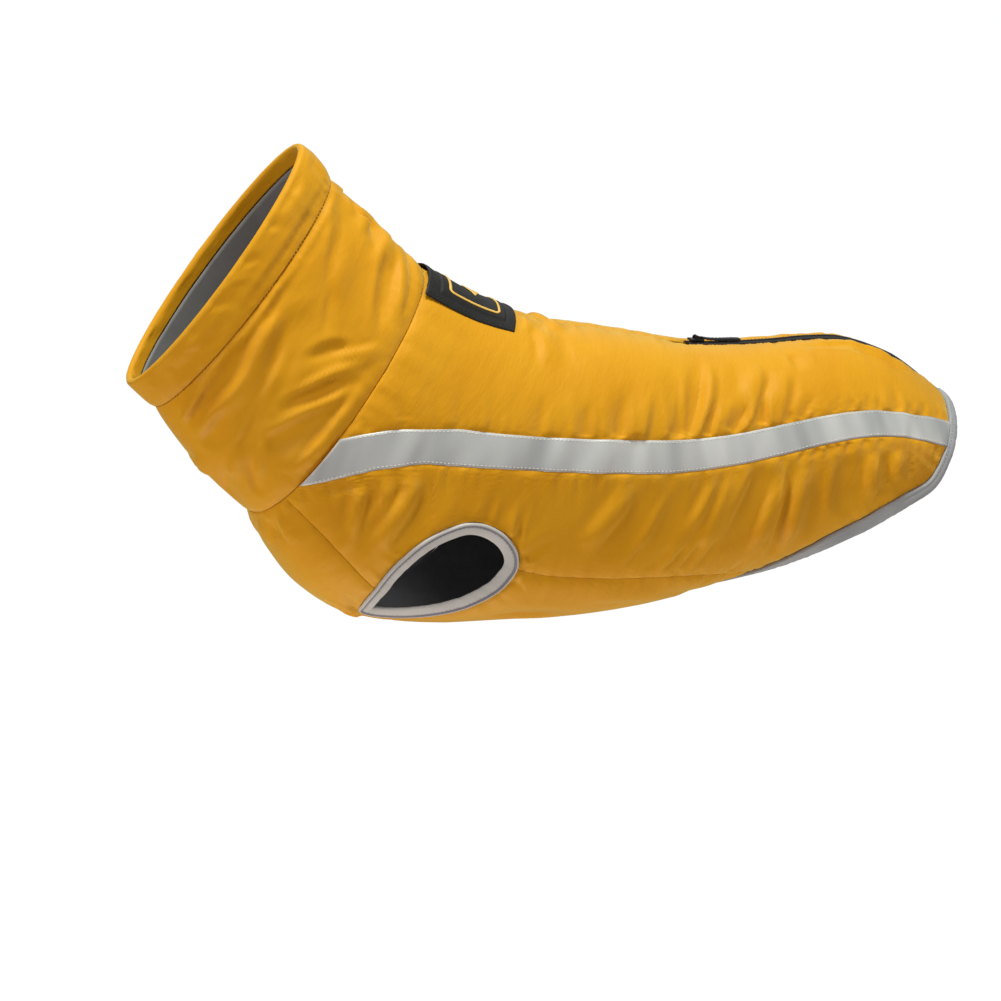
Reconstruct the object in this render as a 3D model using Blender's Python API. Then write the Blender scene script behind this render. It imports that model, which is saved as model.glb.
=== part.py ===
"""Padded dog raincoat with a stand collar and a zip on its back, in the hollow form it is worn in.

Frame: metres, +Z up, -X towards the head, +X towards the tail, -Y the wearer's left side. The
origin is on the inner face of the centre back over the shoulders, where the back carries the coat.

The coat is a tube of rings, from the rim of the collar (ring 0) back past the hem. A place on it is
(ring, girth): girth is the angle round the tube in degrees, from 0 at the crown (the back line)
over 90 on the left side to 180 under the chest, and negative on the right side. The tables and
functions work in millimetres, and `wall` turns them into a mesh in metres.
"""
from collections import namedtuple

import bmesh
import bpy
import numpy as np
from mathutils import Matrix, Vector

MM = 0.001

# ---- driving sizes, mm -------------------------------------------------------------------------
SEAM_GAP = 0.3                  # between neighbouring pieces
FACE_DEPTH = 3.4                # face fabric and wadding, from the tube's surface inwards
LINING_TOP = 4.1                # the lining's two faces, from the tube's surface inwards
LINING_BOTTOM = 5.0
PUFF = 2.2                      # how far the wadding swells between two seams
PUFF_REACH = 13.0               # distance from a seam over which it does
SEAM_SINK = 1.2                 # how far a seam lies below the tube's surface
TAPE_SINK = 0.7                 # the same for the panel under the reflective tape
TAPE_THICK = 0.9
BINDING_WIDTH = 9.0
BINDING_PROUD = 0.4             # hem binding over the tube's surface
CASING_SEAM = 0.86              # ring of the seam under the rim band
NECK_SEAM = 3.0                 # ring of the seam between collar and body
LINING_START = 0.34             # ring where the turned-in edge of the rim band ends
TURN_STEP = 0.03                # rings from there back to where the band's full depth starts
CASING_MIDDLE = 0.6             # ring on the top of the rim band's swelling
RIM_ROUND, RIM_LIFT = 0.06, 0.6 # rings and mm by which the band's free edge is rounded inside
COLLAR_RING = 30.0              # mm from one ring to the next along the collar

ZIP_START = 8.50                # ring where the two sides part for the zip
ZIP_RUN_IN = 0.6                # rings over which the gap opens before the zip begins
ZIP_OPENING = 6.5               # half the width between them
ZIP_SINK = 0.9                  # the zip lies this far below the tube's surface
ZIP_TAPE_THICK = 1.0
CHAIN_HALF = 2.2
CHAIN_RISE = 0.9                # the chain stands this far over its tapes, and as far under

SLIDER_RING = 9.32              # ring under the slider, at the head end of the closed zip
SLIDER_LONG, SLIDER_WIDE, SLIDER_HIGH = 12.0, 9.0, 1.8
EAR_LONG, EAR_THICK, EAR_HIGH = 4.0, 1.2, 2.6
EAR_ROOT = 0.3                  # depth of an ear's foot inside the slider
EYE_LONG, EYE_RADIUS = 3.4, 1.1 # the pull's eye, along its axis
TAB_LONG, TAB_WIDE, TAB_THICK = 36.0, 7.5, 1.6
TAB_NECK = 5.0                  # from the eye's axis to where the tab widens
NECK_START = 0.4                # the neck begins inside the eye,
NECK_THINNER = 0.4              # is thinner than the tab by this, and narrower than the eye
TAB_DROP = 1.5                  # degrees that the tab leans down from its eye, at rest on the zip

PATCH_MIDDLE = 3.98             # ring under the badge's middle
PATCH_RING = 39.0               # mm of crown line for each ring there
PATCH_HALF_LONG, PATCH_HALF_WIDE = 37.5, 40.5
PLATE_HALF_LONG, PLATE_HALF_WIDE = 27.5, 33.0          # its raised inner plate
PATCH_SEAT = 1.3                # its underside and its two faces, over the tube's surface
PATCH_FACE = 2.4
PLATE_FACE = 3.2
FRAME_HALF_LONG, FRAME_HALF_WIDE, FRAME_LINE, FRAME_CORNER = 22.3, 29.5, 2.0, 6.0
LOZENGE_HALF_LONG, LOZENGE_HALF_WIDE = 8.0, 16.0
GILT_THICK = 0.6                # frame line and lozenge

# ---- tables ------------------------------------------------------------------------------------
# The crown and the sole are the highest and lowest points of a ring, in the middle plane. Egg
# narrows a ring towards its crown. Full is the power of the oval: 2 is an ellipse, more is squarer.
Ring = namedtuple("Ring", "name crown_x crown_z sole_x sole_z half_width egg full")
RINGS = [
    Ring("rim", -136, 124, -268, -44, 53, 0.00, 2.00),
    Ring("casing", -109, 95, -246, -69, 57, 0.02, 2.00),
    Ring("collar", -82, 64, -214.5, -111, 65, 0.05, 2.00),
    Ring("neck", -44, 29.5, -181, -148, 77, 0.08, 2.10),
    Ring("withers", -7, 5.5, -163.5, -179, 84, 0.10, 2.15),
    Ring("shoulder", 26, -7.5, -142.4, -206.3, 88, 0.10, 2.20),
    Ring("foreleg front", 58, -17.5, -108, -229, 91, 0.08, 2.25),
    Ring("foreleg back", 92, -24, -54, -240, 92, 0.05, 2.30),
    Ring("ribs 1", 130, -32, 6, -243, 92, 0.03, 2.30),
    Ring("ribs 2", 165, -39.5, 66, -245, 91, 0.03, 2.25),
    Ring("ribs 3", 200, -42, 126, -241, 89, 0.04, 2.20),
    Ring("belly", 235, -42.5, 178, -232, 87, 0.06, 2.10),
    Ring("loin 1", 270, -42, 222, -225, 85, 0.08, 2.05),
    Ring("loin 2", 305, -46, 260, -217, 83, 0.10, 2.00),
    Ring("rump 1", 341, -61, 293, -208, 79, 0.10, 2.00),
    Ring("rump 2", 373, -83, 322, -200, 72, 0.10, 2.00),
    Ring("past the hem 1", 398, -104, 345, -193, 64, 0.10, 2.00),
    Ring("past the hem 2", 416, -126, 362, -187, 54, 0.10, 2.00),
]

# Seams and edges on the left side, as places on the tube.
Place = namedtuple("Place", "ring girth")
CHEST_SEAM = [Place(3.00, 140), Place(3.45, 137.3), Place(4.05, 134.5), Place(4.86, 134.2),
              Place(5.68, 138)]
ARMHOLE = [                     # a closed curve, from the end of the chest seam over the top
    Place(5.68, 138), Place(5.58, 124), Place(5.70, 109), Place(6.15, 99.5), Place(6.75, 101),
    Place(7.20, 108.3), Place(7.39, 116.6), Place(7.39, 129), Place(7.16, 142), Place(6.81, 152),
    Place(6.40, 159.5), Place(6.02, 162), Place(5.82, 152),
]
ARMHOLE_REAR = 6                # the row of ARMHOLE where the side seam starts
SIDE_SEAM = [Place(7.39, 116.6), Place(7.91, 120.6), Place(8.72, 123.5), Place(9.51, 127),
             Place(10.28, 133.5), Place(11.0, 144.5)]
HEM = [                         # from the zip down the left side to the middle of the belly
    Place(15.58, 0), Place(15.56, 35), Place(15.54, 61), Place(15.47, 82), Place(15.24, 102),
    Place(14.58, 113.7), Place(13.72, 127), Place(13.01, 135), Place(12.35, 146),
    Place(11.74, 158), Place(11.22, 169.5), Place(11.05, 180),
]
HEM_CORNER = 3.6                # where on HEM the tail edge turns into the flank edge
HEM_SEAM = 9.0                  # where on HEM the side seam ends

# How far the outer edge of the hem binding turns out from the tube, at each girth.
FLARE_GIRTH = (82, 102, 114, 127, 135, 146, 158)
FLARE = (0.0, 2.0, 4.5, 5.5, 5.0, 2.5, 0.0)

# The reflective tape's edges: their girth at each ring.
TapeRow = namedtuple("TapeRow", "ring top bottom")
TAPE = [
    TapeRow(3, 103.0, 129.0), TapeRow(3.25, 96.2, 119.6), TapeRow(3.5, 91.1, 111.3),
    TapeRow(3.75, 87.3, 104.6), TapeRow(4, 84.1, 99.0), TapeRow(4.5, 79.2, 91.7),
    TapeRow(5, 75.6, 88.3), TapeRow(6, 71.6, 83.5), TapeRow(7, 70.5, 82.4), TapeRow(8, 69.3, 81.9),
    TapeRow(9, 67.2, 80.5), TapeRow(10, 65.6, 79.4), TapeRow(11, 63.4, 77.7),
    TapeRow(12, 61.9, 75.8), TapeRow(13, 60.3, 74.0), TapeRow(14, 57.8, 72.2),
    TapeRow(15, 51.5, 70.5), TapeRow(16, 46.5, 68.5),
]
TAPE_FINE = 8                   # stations of the smoothed tape edge from one of its rows to the next

# The largest folds: from one place to another, with the half width of the soft ridge (or trough,
# where the height is negative) and its height in the middle, mm.
Fold = namedtuple("Fold", "ring_a girth_a ring_b girth_b half_width height")
COLLAR_FOLDS = [
    Fold(1.0, 62, 2.6, 98, 9, -2.0), Fold(1.0, 80, 2.3, 122, 10, 2.4), Fold(1.1, 104, 2.2, 148, 9, -2.2),
    Fold(1.1, 126, 1.9, 160, 9, 2.4), Fold(1.9, 70, 2.9, 84, 8, 1.8), Fold(2.0, 86, 2.9, 110, 8, -1.8),
    Fold(2.1, 112, 2.9, 140, 9, 2.0), Fold(1.5, 0, 1.6, 50, 9, 2.6), Fold(2.4, 0, 2.5, 44, 10, 2.8),
    Fold(1.95, 0, 2.0, 40, 7, -1.8),
]
SIDE_FOLDS = [
    Fold(3.5, 116, 4.3, 128, 8, 1.8), Fold(4.0, 106, 5.2, 124, 8, -1.8), Fold(4.6, 98, 5.5, 112, 8, 1.8),
    Fold(6.9, 40, 7.1, 64, 9, -1.5), Fold(8.2, 30, 8.4, 62, 9, -1.8), Fold(8.9, 20, 9.1, 62, 9, 1.8),
    Fold(9.6, 26, 9.8, 60, 8, -1.8), Fold(10.6, 22, 10.7, 60, 9, 1.6), Fold(8.6, 88, 8.0, 114, 9, 1.6),
    Fold(10.2, 86, 9.4, 122, 9, -1.8), Fold(11.3, 82, 10.5, 128, 10, 1.8), Fold(12.3, 82, 11.6, 132, 10, -1.8),
    Fold(13.3, 80, 12.6, 132, 9, 1.6),
]

YELLOW = (0.81, 0.47, 0.042)
GREY_TAPE = (0.55, 0.55, 0.56)
GREY_BINDING = (0.33, 0.34, 0.39)
GREY_PALE = (0.62, 0.60, 0.60)
GREY_LINING = (0.23, 0.23, 0.25)
BLACK = (0.018, 0.019, 0.023)
GOLD = (0.85, 0.55, 0.13)


# ---- the tube ----------------------------------------------------------------------------------
def spline(rows, at, closed=False):
    """Point on the smooth curve through the rows. `at` counts rows and may lie between them."""
    rows = np.asarray(rows, float)
    at = np.asarray(at, float)
    if closed:
        start = np.floor(at).astype(int)
        before, near, far, after = (rows[(start + step) % len(rows)] for step in (-1, 0, 1, 2))
    else:
        start = np.clip(np.floor(at).astype(int), 0, len(rows) - 2)
        longer = np.vstack([2 * rows[:1] - rows[1:2], rows, 2 * rows[-1:] - rows[-2:-1]])
        before, near, far, after = (longer[start + step] for step in (0, 1, 2, 3))
    s = (at - start)[..., None]
    return 0.5 * (2 * near + (far - before) * s + (2 * before - 5 * near + 4 * far - after) * s**2
                  + (3 * near - before - 3 * far + after) * s**3)


RING_ROWS = np.array([ring[1:] for ring in RINGS], float)


def power(value, exponent):
    """A power that keeps its base's sign."""
    return np.sign(value) * np.abs(value)**exponent


def skin(ring, girth):
    """Point of the coat's surface, mm."""
    ring, girth = np.broadcast_arrays(np.asarray(ring, float), np.asarray(girth, float))
    crown_x, crown_z, sole_x, sole_z, half, egg, full = np.moveaxis(spline(RING_ROWS, ring), -1, 0)
    cosine = np.cos(np.radians(girth))
    sine = np.sin(np.radians(girth))
    drop = (1 - power(cosine, 2 / full)) / 2
    y = -half * power(sine, 2 / full) * (1 - egg * cosine)
    return np.stack([crown_x + drop * (sole_x - crown_x), y, crown_z + drop * (sole_z - crown_z)], -1)


def directions(ring, girth):
    """The surface's two directions, mm for each ring and degree, and its outward unit normal."""
    d_ring, d_girth = 0.02, 0.5
    along = (skin(ring + d_ring, girth) - skin(ring - d_ring, girth)) / (2 * d_ring)
    around = (skin(ring, girth + d_girth) - skin(ring, girth - d_girth)) / (2 * d_girth)
    return along, around, unit(np.cross(around, along))


def unit(vectors):
    return vectors / np.linalg.norm(vectors, axis=-1, keepdims=True)


def shifted(path, distance, closed=False):
    """Slide a path of places over the surface, square to itself, by a distance in mm."""
    path = np.array(path, float)
    steps = 4
    for _ in range(steps):
        points = skin(path[:, 0], path[:, 1])
        if closed:
            tangent = np.roll(points, -1, 0) - np.roll(points, 1, 0)
        else:
            tangent = np.gradient(points, axis=0)
        along, around, normal = directions(path[:, 0], path[:, 1])
        way = unit(np.cross(normal, tangent))
        aa, ar, rr = (along * along).sum(-1), (along * around).sum(-1), (around * around).sum(-1)
        wa, wr = (way * along).sum(-1), (way * around).sum(-1)
        det = aa * rr - ar * ar
        path[:, 0] += distance / steps * (wa * rr - wr * ar) / det
        path[:, 1] += distance / steps * (wr * aa - wa * ar) / det
    return path


def girth_at(ring, y):
    """Girth of the crown's neighbour that lies y mm from the middle plane."""
    half, egg, full = np.moveaxis(spline(RING_ROWS, ring)[..., 4:7], -1, 0)
    return np.degrees(np.arcsin((y / (half * (1 - egg)))**(full / 2)))


def nearest(points, marks):
    """Distance from each point to the closest of the marks, mm."""
    flat = points.reshape(-1, 3)
    gaps = np.linalg.norm(flat[:, None, :] - marks[None, :, :], axis=-1)
    return gaps.min(1).reshape(points.shape[:-1])


# ---- seams and edges as fine paths -------------------------------------------------------------
def sampled(rows, first, last, count, closed=False):
    return spline(rows, np.linspace(first, last, count + 1), closed)


FRONT_STEPS, ARM_STEPS, SIDE_STEPS, FLANK_STEPS = 4, 10, 12, 10
UNDER_STEPS = 14                # chest panel's stations along the lower half of the armhole

HEM_INNER = shifted(sampled(HEM, 0, len(HEM) - 1, 110), -BINDING_WIDTH)
HEM_INNER[:, 1] = np.clip(HEM_INNER[:, 1], 0, 180)


def hem_inner(first, last, count):
    """Stretch of the line where the panels meet the hem binding, by rows of HEM."""
    at = np.linspace(first, last, count + 1) / (len(HEM) - 1) * (len(HEM_INNER) - 1)
    return np.stack([np.interp(at, np.arange(len(HEM_INNER)), HEM_INNER[:, k]) for k in (0, 1)], -1)


FRONT_EDGE = sampled(CHEST_SEAM, 0, len(CHEST_SEAM) - 1, FRONT_STEPS)
ARM_UPPER = sampled(ARMHOLE, 0, ARMHOLE_REAR, ARM_STEPS, closed=True)
ARM_LOWER = sampled(ARMHOLE, len(ARMHOLE), ARMHOLE_REAR, UNDER_STEPS, closed=True)
SIDE_END = Place(*hem_inner(HEM_SEAM, HEM_SEAM, 1)[0])
SIDE_EDGE = sampled(SIDE_SEAM + [SIDE_END], 0, len(SIDE_SEAM), SIDE_STEPS)
FLANK_EDGE = hem_inner(HEM_SEAM, HEM_CORNER, FLANK_STEPS)
TAIL_EDGE = hem_inner(HEM_CORNER, 0, 24)
BELLY_EDGE = hem_inner(HEM_SEAM, len(HEM) - 1, 12)


# ---- panels as grids of places -----------------------------------------------------------------
ABOVE_TAPE = (0, 0.07, 0.25, 0.46, 0.68, 0.91, 1)      # rows from the centre back to the tape
BELOW_TAPE = (0.09, 0.32, 0.56, 0.8, 0.93, 1)          # rows from the tape to the lower edge
TAPE_ROWS = (0.5, 1)                                   # rows across the tape
TOP_ROW = len(ABOVE_TAPE) - 1                          # row on the tape's upper edge
BOTTOM_ROW = TOP_ROW + len(TAPE_ROWS)                  # row on its lower edge
CROWN_AT_ARMHOLE = (4.4, 4.75, 5.15, 5.75, 6.5, 7.2, 7.9)    # crown rings above the rows of ARMHOLE
CROWN_AT_HEM = (11.3, 15.24)                           # and above the flank's two ends
MIDDLE_AT_ARMHOLE = (4.9, 5.35, 5.8, 6.3, 6.85, 7.4, 8.0, 8.5)   # sole rings under its lower rows
FLAT_CROWN = 30.0                                      # down to this girth a column keeps its ring


TAPE_CURVE = spline(TAPE, np.linspace(0, len(TAPE) - 1, (len(TAPE) - 1) * TAPE_FINE + 1))


def tape_edges(ring):
    return tuple(np.interp(ring, TAPE_CURVE[:, 0], TAPE_CURVE[:, k]) for k in (1, 2))


def half_opening(ring):
    """Distance of a side panel's upper edge from the middle plane, mm."""
    open_part = np.clip((ring - ZIP_START) / (ZIP_RUN_IN / 2), 0, 1)
    return SEAM_GAP / 2 + (ZIP_OPENING - SEAM_GAP / 2) * open_part**2 * (3 - 2 * open_part)


def side_grid():
    """Places of the left side panel: columns run from the centre back down to the lower edge."""
    lower = np.vstack([FRONT_EDGE, ARM_UPPER[1:], SIDE_EDGE[1:], FLANK_EDGE[1:]])
    front, arm, side, flank = np.cumsum((FRONT_STEPS, ARM_STEPS, SIDE_STEPS, FLANK_STEPS))
    column = np.arange(len(lower))
    corners = (0, *np.linspace(front, arm, len(CROWN_AT_ARMHOLE)), side, flank)
    crown = np.interp(column, corners, (NECK_SEAM, *CROWN_AT_ARMHOLE, *CROWN_AT_HEM))
    rows = len(ABOVE_TAPE) + len(TAPE_ROWS) + len(BELOW_TAPE)
    ring = np.repeat(crown[:, None], rows, 1)
    tail = TAIL_EDGE[::-1]
    pull = np.clip((column - side) / FLANK_STEPS, 0, 1)**2
    for _ in range(6):
        top, bottom = tape_edges(ring)
        start = girth_at(ring, half_opening(ring))
        end = lower[:, 1:2]
        girth = np.concatenate([
            start[:, :TOP_ROW + 1] + (top - start)[:, :TOP_ROW + 1] * ABOVE_TAPE,
            top[:, TOP_ROW + 1:BOTTOM_ROW + 1] + (bottom - top)[:, TOP_ROW + 1:BOTTOM_ROW + 1] * TAPE_ROWS,
            bottom[:, BOTTOM_ROW + 1:] + (end - bottom[:, BOTTOM_ROW + 1:]) * BELOW_TAPE], 1)
        lean = np.clip((girth - FLAT_CROWN) / (end - FLAT_CROWN), 0, 1)**1.3
        ring = crown[:, None] + (lower[:, 0:1] - crown[:, None]) * lean
        straight = ring[-1]
        ring = ring + pull[:, None] * (np.interp(girth[-1], tail[:, 1], tail[:, 0]) - straight)
    return np.stack([ring, girth], -1)


def chest_grid():
    """Places of the underside panel: stations from the neck seam to the hem, each from left to right."""
    edge = np.vstack([FRONT_EDGE, ARM_LOWER[1:], SIDE_EDGE[1:]])
    arm_end = FRONT_STEPS + UNDER_STEPS
    corners = (0, *np.linspace(FRONT_STEPS, arm_end, len(MIDDLE_AT_ARMHOLE)), len(edge) - 1)
    middle = np.interp(np.arange(len(edge)), corners, (NECK_SEAM, *MIDDLE_AT_ARMHOLE, BELLY_EDGE[-1, 0]))
    across = np.array((-1, -0.93, -0.66, -0.33, 0, 0.33, 0.66, 0.93, 1))
    girth = 180 + (180 - edge[:, 1:2]) * across
    ring = middle[:, None] + (edge[:, 0:1] - middle[:, None]) * np.abs(across)**2
    belly = BELLY_EDGE
    ring[-1] = np.interp(180 - np.abs(girth[-1] - 180), belly[:, 1], belly[:, 0])
    return np.stack([ring, girth], -1)


def inset(grid, sides):
    """Draw the named sides of a grid in by half a seam gap, so that neighbours stay apart."""
    grid = grid.copy()
    views = {"start": grid, "end": grid[::-1], "first": grid.transpose(1, 0, 2),
             "last": grid.transpose(1, 0, 2)[::-1]}
    for side in sides:
        view = views[side]
        edge, inner = skin(*np.moveaxis(view[0], -1, 0)), skin(*np.moveaxis(view[1], -1, 0))
        tangent = unit(np.gradient(edge, axis=0))
        step = inner - edge
        depth = np.linalg.norm(step - (step * tangent).sum(-1, keepdims=True) * tangent, axis=-1)
        view[0] += (SEAM_GAP / 2 / depth)[:, None] * (view[1] - view[0])
    return grid


# ---- relief ------------------------------------------------------------------------------------
def fold_height(points, folds, mirror=1):
    """Sum of the soft ridges and troughs at the points, mm."""
    height = np.zeros(points.shape[:-1])
    for fold in folds:
        at = np.linspace(0, 1, 7)
        line = skin(fold.ring_a + (fold.ring_b - fold.ring_a) * at,
                    mirror * (fold.girth_a + (fold.girth_b - fold.girth_a) * at))
        size = np.sin(np.pi * (0.12 + 0.76 * at)) * fold.height
        gaps = np.linalg.norm(points[..., None, :] - line, axis=-1)
        share = np.exp(-(gaps / fold.half_width)**2)
        height += (share * size).sum(-1) / np.maximum(share.sum(-1), 1)
    return height


def padded(points, seams, folds, mirror=1):
    """Height of the padded face over the tube: drawn in at the seams, swollen between them."""
    gap = nearest(points, seams)
    swell = 1 - np.exp(-gap / PUFF_REACH)
    return np.maximum(-SEAM_SINK + PUFF * swell + swell * fold_height(points, folds, mirror), -2.0)


# ---- meshes ------------------------------------------------------------------------------------
def finished(name, colour, roughness=0.6, metallic=0.0):
    material = bpy.data.materials.new(name)
    material.use_nodes = True
    shader = material.node_tree.nodes["Principled BSDF"]
    shader.inputs["Base Color"].default_value = (*colour, 1)
    shader.inputs["Roughness"].default_value = roughness
    shader.inputs["Metallic"].default_value = metallic
    material.diffuse_color = (*colour, 1)
    return material


def add_object(name, mesh, material):
    mesh.materials.append(material)
    made = bpy.data.objects.new(name, mesh)
    COAT.objects.link(made)
    return made


def wall(name, grid, outer, inner, material, closed=False):
    """Closed wall over a grid of places, between two heights (mm) over the tube's surface.

    With `closed` the grid's second direction runs all round, as on a collar or a ring of binding.
    """
    ring, girth = np.moveaxis(grid, -1, 0)
    points = skin(ring, girth)
    normal = directions(ring, girth)[2]
    outer = np.broadcast_to(outer, ring.shape)[..., None]
    inner = np.broadcast_to(inner, ring.shape)[..., None]
    rows, count = ring.shape
    bm = bmesh.new()
    faces = []
    for layer in (points + outer * normal, points + inner * normal):
        faces.append([[bm.verts.new(p * MM) for p in line] for line in layer])
    top, bottom = faces
    spans = count if closed else count - 1
    for i in range(rows - 1):
        for j in range(spans):
            k = (j + 1) % count
            for sheet in (top, bottom):
                quad(bm, sheet[i][j], sheet[i][k], sheet[i + 1][k], sheet[i + 1][j])
    for i in (0, rows - 1):
        for j in range(spans):
            k = (j + 1) % count
            quad(bm, top[i][j], top[i][k], bottom[i][k], bottom[i][j])
    if not closed:
        for j in (0, count - 1):
            for i in range(rows - 1):
                quad(bm, top[i][j], top[i + 1][j], bottom[i + 1][j], bottom[i][j])
    bmesh.ops.recalc_face_normals(bm, faces=bm.faces)
    mesh = bpy.data.meshes.new(name)
    bm.to_mesh(mesh)
    bm.free()
    mesh.shade_smooth()
    return add_object(name, mesh, material)


def quad(bm, a, b, c, d):
    """Two triangles, split along a-c, so that stacked walls fold along the same lines."""
    bm.faces.new((a, b, c))
    bm.faces.new((a, c, d))


def mirrored(grid):
    return grid * (1, -1)


# ---- pieces ------------------------------------------------------------------------------------
AROUND = np.linspace(0, 360, 36, endpoint=False)
SIDES = (("left", 1), ("right", -1))


def ring_band(rings):
    return np.stack(np.meshgrid(rings, AROUND, indexing="ij"), -1)


def ring_seam(ring):
    return skin(np.full(180, ring), np.linspace(0, 360, 180))


def build_collar():
    gap = SEAM_GAP / 2 / COLLAR_RING
    turned_in = (0, RIM_ROUND, LINING_START - 2 * TURN_STEP, LINING_START - TURN_STEP)
    casing = ring_band((*turned_in, CASING_MIDDLE, CASING_SEAM - gap))
    at = skin(*np.moveaxis(casing, -1, 0))
    height = padded(at, np.vstack([ring_seam(0), ring_seam(CASING_SEAM)]), [])
    depth = np.array((RIM_LIFT - LINING_BOTTOM, -LINING_BOTTOM, -LINING_BOTTOM, *(-FACE_DEPTH,) * 3))
    wall("collar_casing", casing, height, depth[:, None], CLOTH, closed=True)

    collar = ring_band((CASING_SEAM + gap, 1.0, 1.25, 1.55, 1.85, 2.15, 2.45, 2.75, NECK_SEAM - gap))
    at = skin(*np.moveaxis(collar, -1, 0))
    seams = np.vstack([ring_seam(CASING_SEAM), ring_seam(NECK_SEAM)])
    height = padded(at, seams, COLLAR_FOLDS) + fold_height(at, COLLAR_FOLDS, -1)
    wall("collar", collar, np.maximum(height, -2), -FACE_DEPTH, CLOTH, closed=True)

    lining = ring_band((LINING_START, 1.0, 1.7, 2.35, NECK_SEAM - gap))
    wall("lining_collar", lining, -LINING_TOP, -LINING_BOTTOM, LINING, closed=True)


def side_height(grid, mirror):
    """Outer face of a side panel, which lies low and smooth under the tape."""
    points = skin(*np.moveaxis(grid, -1, 0))
    border = np.vstack([points[0], points[-1], points[:, -1], points[:, 0]])
    height = padded(points, border, SIDE_FOLDS, mirror)
    tape_lines = np.vstack([points[:, TOP_ROW], points[:, BOTTOM_ROW]])
    beside = np.exp(-(nearest(points, tape_lines) / 6)**2)
    height = height * (1 - beside) - TAPE_SINK * beside
    height[:, TOP_ROW:BOTTOM_ROW + 1] = -TAPE_SINK
    return height


def lining_columns(arm_steps, count):
    """Every second column of a panel, but all of them as far as the end of the armhole."""
    arm_end = FRONT_STEPS + arm_steps
    return [*range(arm_end), *range(arm_end, count, 2)]


def build_sides():
    base = side_grid()
    cut = inset(base, ("start", "end", "last"))
    tape_cut = inset(inset(base[:, TOP_ROW:BOTTOM_ROW + 1], ("start", "end")), ("start", "end"))
    lining_rows = [0, 2, 3, 4, TOP_ROW, BOTTOM_ROW, BOTTOM_ROW + 2, BOTTOM_ROW + 4, cut.shape[1] - 1]
    for side, sign in SIDES:
        grid = cut if sign > 0 else mirrored(cut)
        height = side_height(grid, sign)
        wall("side_" + side, grid, height, -FACE_DEPTH, CLOTH)
        wall("lining_" + side, grid[lining_columns(ARM_STEPS, len(grid))][:, lining_rows],
             -LINING_TOP, -LINING_BOTTOM, LINING)
        tape = tape_cut if sign > 0 else mirrored(tape_cut)
        wall("tape_" + side, tape, SEAM_GAP + TAPE_THICK - TAPE_SINK, SEAM_GAP - TAPE_SINK, TAPE_CLOTH)


def build_chest():
    cut = inset(chest_grid(), ("start", "end", "first", "last"))
    points = skin(*np.moveaxis(cut, -1, 0))
    border = np.vstack([points[0], points[-1], points[:, 0], points[:, -1]])
    wall("chest", cut, padded(points, border, []), -FACE_DEPTH, CLOTH)
    wall("lining_chest", cut[lining_columns(UNDER_STEPS, len(cut))], -LINING_TOP, -LINING_BOTTOM, LINING)


def build_armholes():
    """Elastic binding: a narrow rounded edge outside, then a facing turned into the opening."""
    profile = np.array([        # distance into the opening, outer and inner height, mm
        (SEAM_GAP / 2, -0.9, -3.6), (1.6, 0.2, -3.8), (3.0, -0.7, -4.0), (6.0, -2.2, -5.0), (8.6, -3.8, -6.0)])
    path = np.vstack([ARM_UPPER[:-1], ARM_LOWER[:0:-1]])
    grid = np.stack([shifted(path, -distance, closed=True) for distance in profile[:, 0]])
    for side, sign in SIDES:
        turned = grid if sign > 0 else mirrored(grid)
        wall("armhole_binding_" + side, turned, profile[:, 1:2], profile[:, 2:3], PALE, closed=True)


def build_hem():
    """Binding round the lower edges; along the flanks and the belly its free edge turns out."""
    profile = np.array([        # distance from the panels, outer and inner height, mm
        (SEAM_GAP / 2, BINDING_PROUD, -3.8), (BINDING_WIDTH - 1.5, BINDING_PROUD, -3.8),
        (BINDING_WIDTH, -0.4, -3.2)])
    side, chest = side_grid(), chest_grid()
    flank = side[-2:-FLANK_STEPS - 1:-1, -1]
    middle = chest.shape[1] // 2
    half = np.vstack([side[-1], flank, chest[-1, :middle + 1]])
    grid = np.stack([shifted(half, distance) for distance in profile[:, 0]])
    grid[:, -1, 1] = 180
    grid[:, 0, 1] = girth_at(grid[:, 0, 0], np.full(len(grid), ZIP_OPENING))
    other = mirrored(grid)[:, :-1][:, ::-1] + (0, 360)
    flare = np.interp(grid[..., 1], FLARE_GIRTH, FLARE) * profile[:, 0:1] / BINDING_WIDTH
    flare = np.concatenate([flare, flare[:, :-1][:, ::-1]], 1)
    wall("hem_binding", np.concatenate([grid, other], 1),
         profile[:, 1:2] + flare, profile[:, 2:3] + flare, BINDING)


def build_zip():
    rings = np.linspace(ZIP_START + ZIP_RUN_IN, 15.5, 34)
    inner_edge = CHAIN_HALF + SEAM_GAP
    outer_edge = ZIP_OPENING - SEAM_GAP
    low = -ZIP_SINK - ZIP_TAPE_THICK
    for side, sign in SIDES:
        girth = [sign * girth_at(rings, np.full(len(rings), y)) for y in (inner_edge, outer_edge)]
        grid = np.stack([np.stack([rings, g], -1) for g in girth], 1)
        wall("zip_tape_" + side, grid, -ZIP_SINK, low, ZIP_CLOTH)
    edge = girth_at(rings, np.full(len(rings), CHAIN_HALF))
    grid = np.stack([np.stack([rings, g], -1) for g in (-edge, edge)], 1)
    wall("zip_chain", grid, CHAIN_RISE - ZIP_SINK, low - CHAIN_RISE, TEETH)


def crown_frame(ring, height):
    """Place on the crown line at a height over the tube, X along the back, Z outwards, metres."""
    along, _, normal = directions(np.array(ring), np.array(0.0))
    point = (skin(ring, 0.0) + height * normal) * MM
    x, z = Vector(unit(along)), Vector(normal)
    turn = Matrix((x, z.cross(x), z)).transposed()
    return Matrix.Translation(point) @ turn.to_4x4()


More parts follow.
